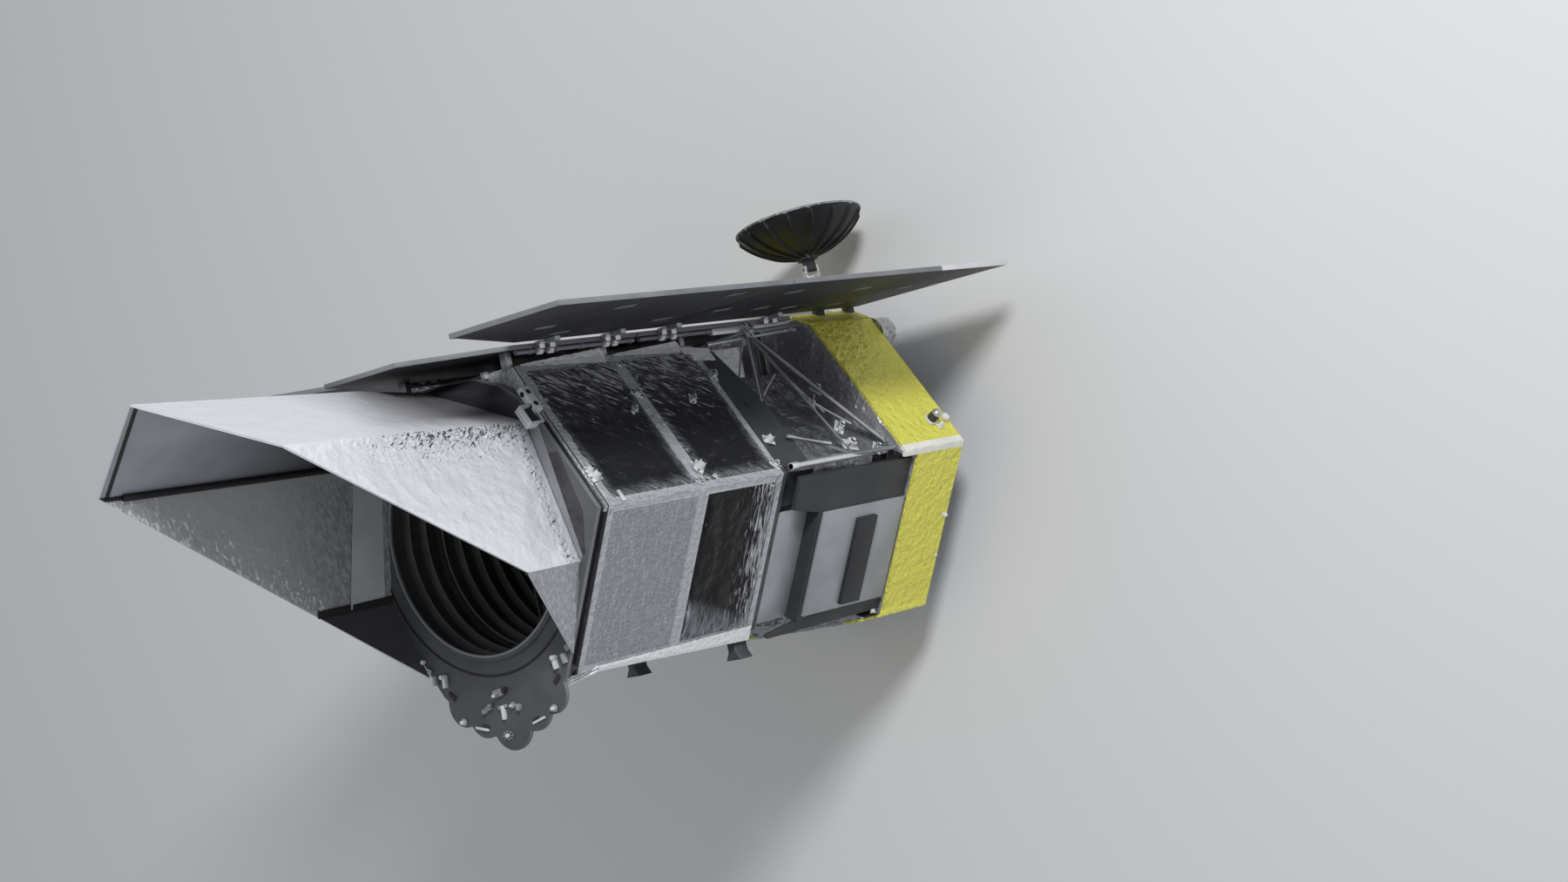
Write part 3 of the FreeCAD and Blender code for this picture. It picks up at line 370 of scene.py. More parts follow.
def choose(obj, kind, test):
    """Goes into edit mode with just those vertices, edges or faces selected that pass the test."""
    only(obj)
    bpy.ops.object.mode_set(mode="EDIT")
    bpy.ops.mesh.select_mode(type={"vertices": "VERT", "edges": "EDGE", "polygons": "FACE"}[kind])
    bpy.ops.mesh.select_all(action="DESELECT")
    bpy.ops.object.mode_set(mode="OBJECT")
    items = getattr(obj.data, kind)
    items.foreach_set("select", [bool(test(item)) for item in items])
    bpy.ops.object.mode_set(mode="EDIT")


def done():
    """Back to object mode."""
    bpy.ops.object.mode_set(mode="OBJECT")


def everything(obj):
    """Goes into edit mode with the whole mesh selected."""
    only(obj)
    bpy.ops.object.mode_set(mode="EDIT")
    bpy.ops.mesh.select_mode(type="VERT")
    bpy.ops.mesh.select_all(action="SELECT")


def joined(name, parts):
    """Several pieces as one object."""
    only(parts[0])
    for part in parts:
        part.select_set(True)
    if len(parts) > 1:
        bpy.ops.object.join()
    whole = bpy.context.view_layer.objects.active
    whole.name = whole.data.name = name
    return whole


def taken(name, *node_names, whole_faces=True):
    """A new piece from copies of CAD nodes' meshes, merged, with its flat faces whole again."""
    parts = []
    for node_name in node_names:
        cad = nodes[node_name]
        part = bpy.data.objects.new(name, cad.data.copy())
        part.data.transform(cad.matrix_world)
        bpy.context.scene.collection.objects.link(part)
        parts.append(part)
    whole = joined(name, parts)
    everything(whole)
    bpy.ops.mesh.remove_doubles(threshold=0.00002)
    if whole_faces:
        bpy.ops.mesh.dissolve_limited(angle_limit=0.004)
    done()
    return whole


def modified(obj, kind, **settings):
    """One modifier, applied at once."""
    only(obj)
    made = obj.modifiers.new(kind.title(), kind)
    for name, value in settings.items():
        setattr(made, name, value)
    bpy.ops.object.modifier_apply(modifier=made.name)
    return obj


def bevelled(obj, width, angle=None, segments=2):
    """Rounds the edges sharper than the angle in degrees, or else than Blender's own limit."""
    limit = {"angle_limit": math.radians(angle)} if angle else {}
    return modified(obj, "BEVEL", width=width, segments=segments, limit_method="ANGLE", **limit)


def painted_with(obj, *names, chosen=None):
    """Gives obj its finishes; chosen picks one by number for each face."""
    obj.data.materials.clear()
    for name in names:
        obj.data.materials.append(finishes[name])
    if chosen:
        for face in obj.data.polygons:
            face.material_index = chosen(face)
    return obj


def settled(obj, node_names=(), body="spacecraft", smooth=None):
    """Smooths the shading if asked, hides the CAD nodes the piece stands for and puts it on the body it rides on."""
    if smooth:
        only(obj)
        bpy.ops.object.shade_smooth_by_angle(angle=math.radians(smooth))
    if node_names:
        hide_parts(*node_names)
    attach(obj, body)
    return obj


def finished(name, parts, looks, smooth=None, body="spacecraft", chosen=None):
    """New parts joined as one named piece, with its finishes, on the body that carries it."""
    whole = joined(name, parts)
    painted_with(whole, *((looks,) if isinstance(looks, str) else looks), chosen=chosen)
    return settled(whole, body=body, smooth=smooth)


def face_place(degrees, u, out, z):
    """A point on a face of the craft: u along the face, out from the axis, z up the craft."""
    angle = math.radians(degrees)
    return Vector((u * math.cos(angle) - out * math.sin(angle), u * math.sin(angle) + out * math.cos(angle), z))


def face_frame(degrees, u, out, z):
    """Puts a fitting on a face: its x runs along the craft, its y along the face, its z outward."""
    angle = math.radians(degrees)
    sideways = Vector((math.cos(angle), math.sin(angle), 0))
    outward = Vector((-math.sin(angle), math.cos(angle), 0))
    turn = Matrix((Vector((0, 0, 1)), sideways, outward)).transposed().to_4x4()
    return Matrix.Translation(face_place(degrees, u, out, z)) @ turn


def hard_edges(obj, angle=0.35):
    """Ends of the edges where the surface folds or stops."""
    normals = [face.normal for face in obj.data.polygons]
    users = {}
    for face in obj.data.polygons:
        for key in face.edge_keys:
            users.setdefault(key, []).append(face.index)
    points = obj.data.vertices
    found = []
    for (a, b), owners in users.items():
        if len(owners) < 2 or normals[owners[0]].angle(normals[owners[1]], 0) > angle:
            found.append((points[a].co.copy(), points[b].co.copy()))
    return found


def line_distance(places, lines):
    """Distance of each place to the nearest of the lines."""
    nearest = np.full(len(places), 1e9)
    for a, b in lines:
        start, run = np.array(a), np.array(b) - np.array(a)
        share = np.clip((places - start) @ run / max(run @ run, 1e-12), 0, 1)
        gap = places - start - share[:, None] * run
        nearest = np.minimum(nearest, np.sqrt((gap ** 2).sum(1)))
    return nearest


def ramp(values, start, reach):
    """0 up to the start, then rising to 1 over the reach; a negative reach rises the other way."""
    return np.clip((values - start) / reach, 0, 1)


def places_of(obj):
    """Places of all vertices, one row each."""
    places = np.empty(len(obj.data.vertices) * 3)
    obj.data.vertices.foreach_get("co", places)
    return places.reshape(-1, 3)


def weighted(obj, name, values):
    """A vertex group with one weight for each vertex."""
    group = obj.vertex_groups.new(name=name)
    for step in range(1, 11):
        chosen = np.nonzero(np.round(values * 10).astype(int) == step)[0].tolist()
        if chosen:
            group.add(chosen, step / 10, "REPLACE")
    return name


def refined(obj, size, triangles=False):
    """Cuts edges again and again until none is longer than size."""
    for _ in range(14):
        places = places_of(obj)
        ends = np.empty(len(obj.data.edges) * 2, dtype=np.int32)
        obj.data.edges.foreach_get("vertices", ends)
        ends = ends.reshape(-1, 2)
        too_long = np.linalg.norm(places[ends[:, 0]] - places[ends[:, 1]], axis=1) > size
        if not too_long.any():
            break
        choose(obj, "edges", lambda edge: too_long[edge.index])
        bpy.ops.mesh.subdivide(number_cuts=1, ngon=False)
        if triangles:
            bpy.ops.mesh.select_all(action="SELECT")
            bpy.ops.mesh.quads_convert_to_tris(quad_method="SHORTEST_DIAGONAL")
        done()
    return obj


def skin_of(name, node_name, size, triangles=False, whole_faces=True):
    """A CAD node's skin as a fine mesh, and the lines along which it folds or stops."""
    sheet = taken(name, node_name, whole_faces=whole_faces)
    lines = hard_edges(sheet)
    return refined(sheet, size, triangles), lines


def pattern(kind, size, **settings):
    """A texture for shaping a sheet, its features about size metres across."""
    made = bpy.data.textures.new(kind.lower(), kind)
    made.noise_scale = size
    for name, value in settings.items():
        setattr(made, name, value)
    return made


def clouded(size, depth=1):
    """Soft folds."""
    return pattern("CLOUDS", size, noise_depth=depth)


def ridged(size):
    """Sharp creases, as stiff film has."""
    return pattern("VORONOI", size, distance_metric="DISTANCE", weight_1=-1.0, weight_2=1.0)


def stretched(size, degrees=0, tilt=0):
    """An empty whose unequal sizes stretch a texture along one direction."""
    bpy.ops.object.empty_add(location=(0, 0, 0), rotation=(math.radians(tilt), 0, math.radians(degrees)))
    empty = bpy.context.object
    empty.scale = size
    bpy.context.view_layer.update()
    return empty


def dented(obj, texture, depth, group="", space=None, middle=0.5):
    """Presses a texture's relief into a sheet."""
    settings = {"texture": texture, "strength": depth, "mid_level": middle, "vertex_group": group}
    if space:
        modified(obj, "DISPLACE", texture_coords="OBJECT", texture_coords_object=space, **settings)
        bpy.data.objects.remove(space)
    else:
        modified(obj, "DISPLACE", texture_coords="LOCAL", **settings)
    return obj


def crumple(obj, lines, reach, layers, extra=1.0, middle=0.5):
    """Crumples a sheet but holds it along the given lines; extra further scales the weight."""
    places = places_of(obj)
    gap = ramp(line_distance(places, lines), 0, reach)
    group = weighted(obj, "free", gap * gap * (3 - 2 * gap) * extra)
    for texture, depth, *space in layers:
        dented(obj, texture, depth, group, space[0] if space else None, middle)
    obj.vertex_groups.clear()
    return obj


def marked(obj, name, values):
    """Keeps one number for each vertex, for a finish to read."""
    layer = obj.data.attributes.new(name, "FLOAT", "POINT")
    layer.data.foreach_set("value", values)


def dress(name, node_names, looks, edge=0.004, body="spacecraft", chosen=None, angle=35):
    """A piece from CAD nodes with softened edges and its finishes."""
    piece = taken(name, *node_names)
    if edge:
        bevelled(piece, edge, angle)
    painted_with(piece, *looks, chosen=chosen)
    return settled(piece, node_names, body, smooth=35)


def slab(corners, thickness, cuts=0, flip=False):
    """A thin sheet over four corners, thickened on the side from which they run anticlockwise, or flipped."""
    corners = corners[::-1] if flip else corners
    bpy.ops.mesh.primitive_plane_add(size=1.0, location=(0, 0, 0))
    made = bpy.context.object
    for point, corner in zip(made.data.vertices, (corners[0], corners[1], corners[3], corners[2])):
        point.co = corner
    if cuts:
        everything(made)
        bpy.ops.mesh.subdivide(number_cuts=cuts)
        done()
    return modified(made, "SOLIDIFY", thickness=thickness, offset=1.0)


def make_bus():
    """Yellow film blankets, lightly crumpled, with the chamfer in a brighter copy of the film as painted light, and
    the white corner strips.
    """
    creases = ridged(0.085)
    folds = clouded(0.16, 2)
    grain = clouded(0.035)
    chamfers = [face_place(turn, 0, 1, 0) for turn in (-30, 30)]
    for node_name in ("bus_blanket_sun", "bus_blanket_cold", "bus_blanket_upper_right",
                      "bus_blanket_upper_left", "bus_blanket_lower_right", "bus_blanket_lower_left"):
        sheet, lines = skin_of(node_name + "_film", node_name, mesh_edge["bus"])
        on_chamfer = {face.index for face in sheet.data.polygons
                      if max(face.normal.dot(way) for way in chamfers) > 0.97}
        crumple(sheet, lines, 0.05, ((folds, 0.024), (creases, 0.010), (grain, 0.006)))
        cold = node_name == "bus_blanket_cold"
        # The chamfer takes the brighter copy of the film as painted light where the wing's shadow falls
        painted_with(sheet, "yellow_foil", "yellow_painted_light", "pale_film", chosen=lambda face, cold=cold: (
            2 if cold and face.normal.z > 0.6 and abs(face.center.x) < 0.8 else int(face.index in on_chamfer)))
        settled(sheet, [node_name], smooth=24)
    strips, lines = skin_of("bus_corner_tape", "bus_corner_strips", mesh_edge["tape"])
    crumple(strips, lines, 0.03, ((folds, 0.008),))
    # The cold-side corner strips take the same brighter copy as painted light
    painted_with(strips, "white_tape", "yellow_painted_light", chosen=lambda face: int(face.center.y < -1))
    settled(strips, ["bus_corner_strips"], smooth=30)
    dress("bus_box", ["bus_core"], ["bus_frame", "deck_film"], 0.006,
          chosen=lambda face: int(face.normal.z > 0.9))


def cover_outward(face):
    """True for the faces of the cover's skin that look away from its axis."""
    middle = face.center
    reach = Vector((middle.x, middle.y + 0.1, 0))
    return face.normal.dot(reach) > 0.12 * reach.length


def make_cover():
    """The flared cover: silver film outside, crumpled beside its folds, grey linings with straps inside."""
    spots = {"ridge_front": (0, 2.030, 12.27), "ridge_rear": (0, 1.885, 9.15), "brow": (1.66, 1.23, 11.73),
             "cheek": (1.87, -0.57, 8.84), "foot_sun": (1.25, 1.16, 7.8), "foot_mid": (1.68, -0.56, 7.8),
             "foot_cold": (1.26, -1.59, 7.8)}
    creases, waves, fine = ridged(0.075), clouded(0.24), clouded(0.06, 2)
    for side, hand in (("right", 1), ("left", -1)):
        at = {name: np.array((hand * x, y, z)) for name, (x, y, z) in spots.items()}
        fold = [(at["foot_sun"], at["brow"])]
        base = [(at["foot_sun"], at["foot_mid"])]
        mouth = [(at["brow"], at["cheek"])]
        for panel, lining in (("roof", "cover_lining_smooth"), ("side", "cover_lining_grey"),
                              ("lower", "cover_lining_dark")):
            node_name = "cover_" + panel + "_" + side
            skin = taken(node_name + "_film", node_name)
            main = max(skin.data.polygons, key=lambda face: face.area).normal.copy()
            lines = hard_edges(skin, 0.12)
            refined(skin, mesh_edge["cover_side" if panel == "side" else "cover"], True)
            out_share = np.zeros(len(skin.data.vertices))
            for face in skin.data.polygons:
                if cover_outward(face):
                    out_share[list(face.vertices)] = 1
            places = places_of(skin)
            z = places[:, 2]
            rear = np.maximum(ramp(z, 11.3, -1.6), 0.05)
            near_fold = np.clip(1.15 - line_distance(places, fold) / 0.5, 0, 1) * rear
            near_foot = np.clip(1.1 - np.abs(line_distance(places, base) - 0.22) / 0.22, 0, 1)
            near_mouth = np.clip(1.1 - line_distance(places, mouth) / 0.55, 0, 1)
            if panel == "side":
                strong = out_share * np.maximum(near_fold, near_foot * 0.8)
                inner = (1 - out_share) * near_mouth
                crumple(skin, lines, 0.05, ((creases, 0.06), (fine, 0.02)), extra=strong, middle=0.0)
                crumple(skin, lines, 0.05, ((creases, 0.03),), extra=inner, middle=0.0)
                crumple(skin, lines, 0.05, ((waves, 0.02), (fine, 0.006)), extra=out_share * 0.8 + 0.1)
                # The streaks along the creases are painted shade outside and painted highlights on the lining; the
                # lining's painted shade deepens towards its foot
                marked(skin, "creases_and_painted_light", np.maximum(strong, inner))
                marked(skin, "painted_light_and_greying", (1 - out_share) * ramp(z, 9.6, -1.4))
            else:
                crumple(skin, lines, 0.06, ((waves, 0.016),), extra=out_share)
                # Painted shade: outside, greying towards the rear away from the fold; inside, darkening towards the
                # rear
                outer_shade = ramp(z, 10.3, -1.7) * ramp(line_distance(places, fold), 0, 0.4)
                marked(skin, "painted_light_and_greying", np.where(out_share > 0, outer_shade, ramp(z, 11.3, -2.4)))
                if panel == "lower":
                    # The lower film's streaks are painted highlights
                    marked(skin, "creases_and_painted_light", out_share)

            def looks(face, main=main):
                if abs(face.normal.dot(main)) < 0.6:
                    return 2
                return 0 if cover_outward(face) else 1

            painted_with(skin, "cover_" + panel, lining, "mouth_rim", chosen=looks)
            settled(skin, [node_name], smooth=26)
        make_cover_straps(side, hand, {name: Vector(spot) for name, spot in at.items()})
        dress("cover_boom_tube_" + side, ["cover_boom_" + side], ["groove_black"], 0)
        dress("cover_shroud_skin_" + side, ["cover_shroud_" + side], ["shroud_dark"], 0.004)


def make_barrel_films():
    """Black gloss film with painted highlights streaked beside the sunward edge, painted reflection greying it near
    the top and greyer low down, and brushed grey film with painted sheen in front.
    """
    for node_name in ("barrel_film_rear", "barrel_film_front", "barrel_blanket_front"):
        glossy = node_name != "barrel_blanket_front"
        sheet, lines = skin_of(node_name + "_sheet", node_name, mesh_edge["gloss" if glossy else "brushed"])
        places = places_of(sheet)
        y, z = places[:, 1], places[:, 2]
        gap = line_distance(places, lines)
        edge = np.clip(1 - gap / 0.16, 0, 1)
        above = ramp(y, 0.55, 1.1)
        below = ramp(z, 5.12, -0.45)
        # Where the film creases most; on the films the streak colour there paints highlights on the creases
        creases_and_painted_light = np.where(y > waist, np.maximum(above, 0.55 * edge),
                           np.maximum(below, 0.5 * edge * ramp(y, -0.7, -1)))
        if glossy:
            wide = clouded(0.34)
            ridges = ridged(0.16)
            space = stretched((1.0, 1.0, 2.4), 0, 24)
            crumple(sheet, lines, 0.08, ((wide, 0.03),), middle=0.0)
            crumple(sheet, lines, 0.05, ((ridges, 0.045, space),), extra=0.03 + 0.97 * creases_and_painted_light, middle=0.0)
            marked(sheet, "creases_and_painted_light", creases_and_painted_light)
            # The film greys near its top edge as painted reflection, and greys along its edges and low down
            reach = 0.05 + 0.11 * (1 - above) * (y > waist)
            grey_near_edges = 0.8 * np.clip(1 - gap / reach, 0, 1)
            across = -sin_30 * np.abs(places[:, 0]) - cos_30 * y
            grey_low_down = ramp(across - 0.35 * (5.85 - z), 0.36, 0.26) * (z < 5.9)
            grey_low_down = np.maximum(grey_low_down, 0.7 * ramp(z, 4.66, -0.06)) * (y > -1.8)
            marked(sheet, "painted_light_and_greying", np.where(y > waist, np.maximum(0.75 * above ** 2, grey_near_edges), grey_low_down))
        else:
            crumple(sheet, lines, 0.06, ((clouded(0.12, 2), 0.008),), middle=0.0)
            # The whole blanket takes the strokes of painted sheen
            marked(sheet, "creases_and_painted_light", np.ones(len(places)))
        looks = ("black_film", "black_film_low") if glossy else ("grey_blanket",)
        painted_with(sheet, *looks, chosen=lambda face, glossy=glossy: int(glossy and face.center.y < waist))
        settled(sheet, [node_name], smooth=30)


def make_barrel_frames():
    """The silver frames around the film panels: crumpled foil over the barrel's structure."""
    for node_name in ("barrel_rear", "barrel_front"):
        shell, lines = skin_of(node_name + "_frame", node_name, mesh_edge["frame"], True, whole_faces=False)
        creases = ridged(0.07)
        folds = clouded(0.1, 2)
        crumple(shell, lines, 0.025, ((folds, 0.018), (creases, 0.012)))
        painted_with(shell, "barrel_grey")
        settled(shell, [node_name], smooth=26)


def block(place, size, turn=None, soft=0.0):
    """A bevelled block of the given size about its place; turn is a matrix that sets it on a face."""
    bpy.ops.mesh.primitive_cube_add(size=1.0, location=(0, 0, 0))
    made = bpy.context.object
    made.data.transform(Matrix.Diagonal((*size, 1.0)))
    if soft:
        modified(made, "BEVEL", width=soft, segments=2)
    made.data.transform(Matrix.Translation(place))
    if turn is not None:
        made.data.transform(turn)
    return made


def pin(place, radius, height, turn=None, soft=0.0, sides=20):
    """A bevelled round pin standing along z about its place."""
    bpy.ops.mesh.primitive_cylinder_add(vertices=sides, radius=radius, depth=height, location=(0, 0, 0))
    made = bpy.context.object
    if soft:
        bevelled(made, soft)
    made.data.transform(Matrix.Translation(place))
    if turn is not None:
        made.data.transform(turn)
    return made


def bar(start, end, radius, sides=14):
    """A round bar from start to end with a short sleeve round each end."""
    run = end - start
    turn = Matrix.Translation((start + end) / 2) @ run.to_track_quat("Z", "Y").to_matrix().to_4x4()
    made = [pin((0, 0, 0), radius, run.length, turn, sides=sides)]
    sleeve = min(0.14, run.length / 5)
    for sign in (-1, 1):
        centre = (0, 0, sign * (run.length - sleeve) / 2)
        made.append(pin(centre, radius * 1.35, sleeve, turn, radius * 0.2, sides))
    return made


def copies(template, turns):
    """Copies of a template piece, each with its own mesh, moved by the matrices; the template goes."""
    made = []
    for turn in turns:
        copy = template.copy()
        copy.data = template.data.copy()
        copy.data.transform(turn)
        bpy.context.scene.collection.objects.link(copy)
        made.append(copy)
    bpy.data.objects.remove(template)
    return made


def clamp_fitting(size=0.1):
    """A fitting with a foot plate, a raised block and two bolt heads, standing along z."""
    parts = [block((0, 0, 0.06 * size), (1.5 * size, size, 0.12 * size), soft=0.02 * size),
             block((0, 0, 0.35 * size), (0.7 * size, 0.6 * size, 0.5 * size), soft=0.06 * size),
             pin((0, 0, 0.68 * size), 0.2 * size, 0.2 * size, soft=0.03 * size)]
    for side in (-1, 1):
        parts.append(pin((side * 0.58 * size, 0, 0.17 * size), 0.11 * size, 0.14 * size, sides=6))
    return joined("clamp", parts)


def make_shield():
    """Sunshield: dark underside with grey clips, grey rims, dark blue cells on the sunlit side."""
    clips = {"wing_front_right": [(2.203, 8.1), (3.22, 7.81), (3.36, 6.05), (1.626, 7.3), (1.9, 5.8)],
             "wing_rear_right": [(3.12, 4.67), (2.86, 2.97), (2.58, 1.72), (2.65, 1.12), (2.17, 4.97),
                                 (1.78, 3.19), (1.66, 2.06), (1.98, 4.0)]}
    for node_name in ("wing_rear_right", "wing_rear_left", "wing_front_right", "wing_front_left",
                      "shield_centre_rear", "shield_centre_front"):
        body = node_name if "wing" in node_name else "spacecraft"
        plate = taken(node_name + "_plate", node_name)
        base = 2.0499 if "centre" in node_name else 2.1299

        def finish(face, base=base):
            if face.center.y < base - 0.001:
                return 3
            if face.normal.y < -0.5:
                return 0
            return 1 if face.normal.y > 0.5 else 2

        painted_with(plate, "shield_black", "solar_cells", "shield_edge", "hinge_metal", chosen=finish)
        bevelled(plate, 0.006, 50)
        settled(plate, [node_name], body, smooth=35)
        if "wing_rear" in node_name:
            spots = places_of(plate)
            outer = spots[np.abs(spots[:, 0]) > np.abs(spots[:, 0]).max() - 0.02]
            x, y = outer.mean(0)[:2]
            tape = block((x, y, outer[:, 2].min() + 0.75), (0.02, np.ptp(outer[:, 1]) + 0.006, 1.5), soft=0.002)
            finished(node_name + "_edge_tape", [tape], "hinge_bright", body=body)
        places = clips.get(node_name.replace("left", "right"), [])
        if places:
            hand = -1 if "left" in node_name else 1
            template = joined("clip", [block((0, 0, 0), (0.15, 0.006, 0.24), soft=0.002),
                                       block((0, -0.004, 0.06), (0.06, 0.008, 0.06), soft=0.003)])
            lean = Matrix.Rotation(hand * math.radians(-24), 4, "Y")
            turns = [Matrix.Translation((hand * x, 2.127, z)) @ lean for x, z in places]
            finished(node_name + "_clips", copies(template, turns), "clip_grey", body=body)


def make_hinges():
    """Hinge knuckles with bolts, the stays and the tube that runs along the hinge line."""
    dress("shield_hinge_blocks", ["shield_hinges"], ["hinge_bright", "lilac_tube"], 0.003, angle=40,
          chosen=lambda face: int(face.area > 0.004))
    dress("shield_stay_blocks", ["shield_stays"], ["hinge_metal"], 0.008)
    parts, bright = [], []
    for hand in (1, -1):
        for start, end in ((4.0, 5.36), (5.46, 7.52)):
            turn = Matrix.Translation((hand * tube_x, tube_y, (start + end) / 2))
            parts.append(pin((0, 0, 0), 0.031, end - start, turn, sides=18))
            for z in np.arange(start + 0.06, end, 0.44):
                parts.append(pin((hand * tube_x, tube_y, z), 0.04, 0.05, sides=18, soft=0.004))
        bright.append(block((hand * tube_x, 2.005, 3.2), (0.07, 0.085, 1.56), soft=0.01))
        for z in (4.75, 4.97, 5.85, 6.0, 6.98, 7.16):
            bright.append(block((hand * 1.10, 2.012, z), (0.09, 0.05, 0.07), soft=0.008))
            bright.append(pin((hand * 1.10, 1.985, z), 0.022, 0.09, soft=0.004))
    finished("hinge_line_tubes", parts, "lilac_tube", smooth=40)
    finished("hinge_line_beams", bright, "hinge_bright", smooth=40)
    bolts = []
    for hand in (1, -1):
        for z in (2.87, 4.89, 5.93, 7.08):
            for dz in (-0.14, -0.09, 0.09, 0.14):
                for x in (1.015, 1.15):
                    bolts.append(Matrix.Translation((hand * x, 2.024, z + dz))
                                 @ Matrix.Rotation(math.pi / 2, 4, "X"))
    finished("hinge_bolts", copies(pin((0, 0, 0), 0.012, 0.014, sides=6), bolts), "strut_metal")


def make_plate():
    """Aperture plate with its raised lip, a shallow groove, a pale rim and small fittings on the apron."""
    plate = taken("aperture_plate_body", "aperture_plate")
    bevelled(plate, 0.008, 50)
    painted_with(plate, "plate_grey", "plate_rim", chosen=lambda face: 0 if abs(face.normal.z) > 0.8 else 1)
    settled(plate, ["aperture_plate"], smooth=30)
    for name, radius, width, height, look in (("aperture_lip", 1.443, 0.034, 0.035, "plate_lip"),
                                              ("aperture_lip_base", 1.45, 0.075, 0.022, "plate_grey"),
                                              ("aperture_groove", 1.685, 0.03, 0.008, "groove_black")):
        bpy.ops.mesh.primitive_circle_add(vertices=160, radius=radius, location=(0, 0, 0))
        ring = bpy.context.object
        everything(ring)
        bpy.ops.mesh.extrude_region_move(TRANSFORM_OT_translate={"value": (0, 0, height)})
        bpy.ops.mesh.extrude_region_move()
        scale = (radius + width) / radius
        bpy.ops.transform.resize(value=(scale, scale, 1), center_override=(0, 0, 0))
        bpy.ops.mesh.extrude_region_move(TRANSFORM_OT_translate={"value": (0, 0, -height)})
        if name == "aperture_lip":
            bpy.ops.mesh.extrude_region_move()
            bpy.ops.transform.resize(value=(1 / scale, 1 / scale, 1), center_override=(0, 0, 0))
            everything(ring)
            bpy.ops.mesh.remove_doubles(threshold=0.0001)
        everything(ring)
        bpy.ops.mesh.normals_make_consistent(inside=False)
        if name != "aperture_lip":
            # Only the cold half stands clear of the cover's foot
            bpy.ops.mesh.bisect(plane_co=(0, -0.35, 0), plane_no=(0, 1, 0), clear_outer=True)
        done()
        ring.data.transform(Matrix.Translation((0, 0, plate_top)))
        bevelled(ring, 0.010 if height > 0.03 else 0.003, 40, 3)
        finished(name, [ring], look, smooth=50)
    make_apron_fittings()


def make_apron_fittings():
    """Small blocks, posts and dark boxes on the apron, and the braces and boxes at its corners."""
    grey, dark, bright = [], [], []

    def lay(group, x, y, size, turn=0.0, soft=0.006, z=plate_top):
        """A block standing on the plate, turned in degrees."""
        place = Matrix.Translation((x, y, z + size[2] / 2)) @ Matrix.Rotation(math.radians(turn), 4, "Z")
        group.append(block((0, 0, 0), size, place, soft))

    def knob(group, x, y, radius, height):
        group.append(pin((x, y, plate_top + height / 2), radius, height, soft=radius * 0.35))

    lay(grey, -0.082, -1.906, (0.15, 0.09, 0.05), 8)
    lay(grey, -0.082, -1.906, (0.05, 0.06, 0.10), 30)
    lay(dark, 0.03, -1.88, (0.06, 0.06, 0.06), 10)
    knob(bright, -0.10, -1.93, 0.02, 0.12)
    lay(grey, -0.34, -2.078, (0.13, 0.06, 0.03), 20)
    knob(grey, -0.37, -2.10, 0.032, 0.07)
    knob(grey, -0.28, -2.04, 0.022, 0.05)
    lay(bright, -0.059, -2.148, (0.045, 0.17, 0.05), -4)
    lay(grey, -0.065, -2.08, (0.15, 0.045, 0.035), 6)
    lay(grey, 0.12, -2.08, (0.06, 0.07, 0.045), 25)
    lay(grey, 0.22, -2.11, (0.055, 0.08, 0.06), -15)
    knob(bright, 0.12, -2.08, 0.016, 0.08)
    for k in range(8):
        angle = k * math.pi / 4
        knob(grey, -0.075 + 0.075 * math.cos(angle), -2.467 * 0.985 + 0.05 * math.sin(angle), 0.012, 0.025)
    knob(bright, -0.075, -2.43, 0.028, 0.05)
    for hand in (1, -1):
        knob(grey, hand * 0.80, -2.19, 0.05, 0.03)
        knob(bright, hand * 0.80, -2.19, 0.026, 0.07)
        lay(bright, hand * 0.50, -2.305, (0.22, 0.03, 0.03), hand * 14)
        lay(dark, hand * 0.44, -2.285, (0.12, 0.035, 0.012), hand * 14, 0.003)
        lay(bright, hand * 0.977, -1.66, (0.05, 0.16, 0.06), hand * 6)
        knob(bright, hand * 0.985, -1.60, 0.03, 0.09)
        lay(grey, hand * 1.223, -1.51, (0.07, 0.07, 0.04), hand * 30)
        lay(grey, hand * 1.142, -1.63, (0.05, 0.12, 0.06), hand * 8)
        knob(bright, hand * 1.30, -1.38, 0.03, 0.06)
        lay(dark, hand * 1.0, -1.775, (0.24, 0.15, 0.17), hand * 30, 0.03, 7.598)
        lay(dark, hand * 0.93, -1.86, (0.14, 0.07, 0.06), hand * 40, 0.015, 7.76)
        for shift in (0.0, 0.055):
            start = Vector((hand * (0.84 + shift), -1.995 + shift * 0.8, 7.755))
            end = Vector((hand * (1.075 + shift * 0.4), -1.872 + shift * 0.8, 7.26))
            bright += bar(start, end, 0.014)
    for name, parts, look in (("apron_fittings", grey, "apron_grey"), ("apron_boxes", dark, "shroud_dark"),
                              ("apron_bright_parts", bright, "fitting_pale")):
        finished(name, parts, look, smooth=35)


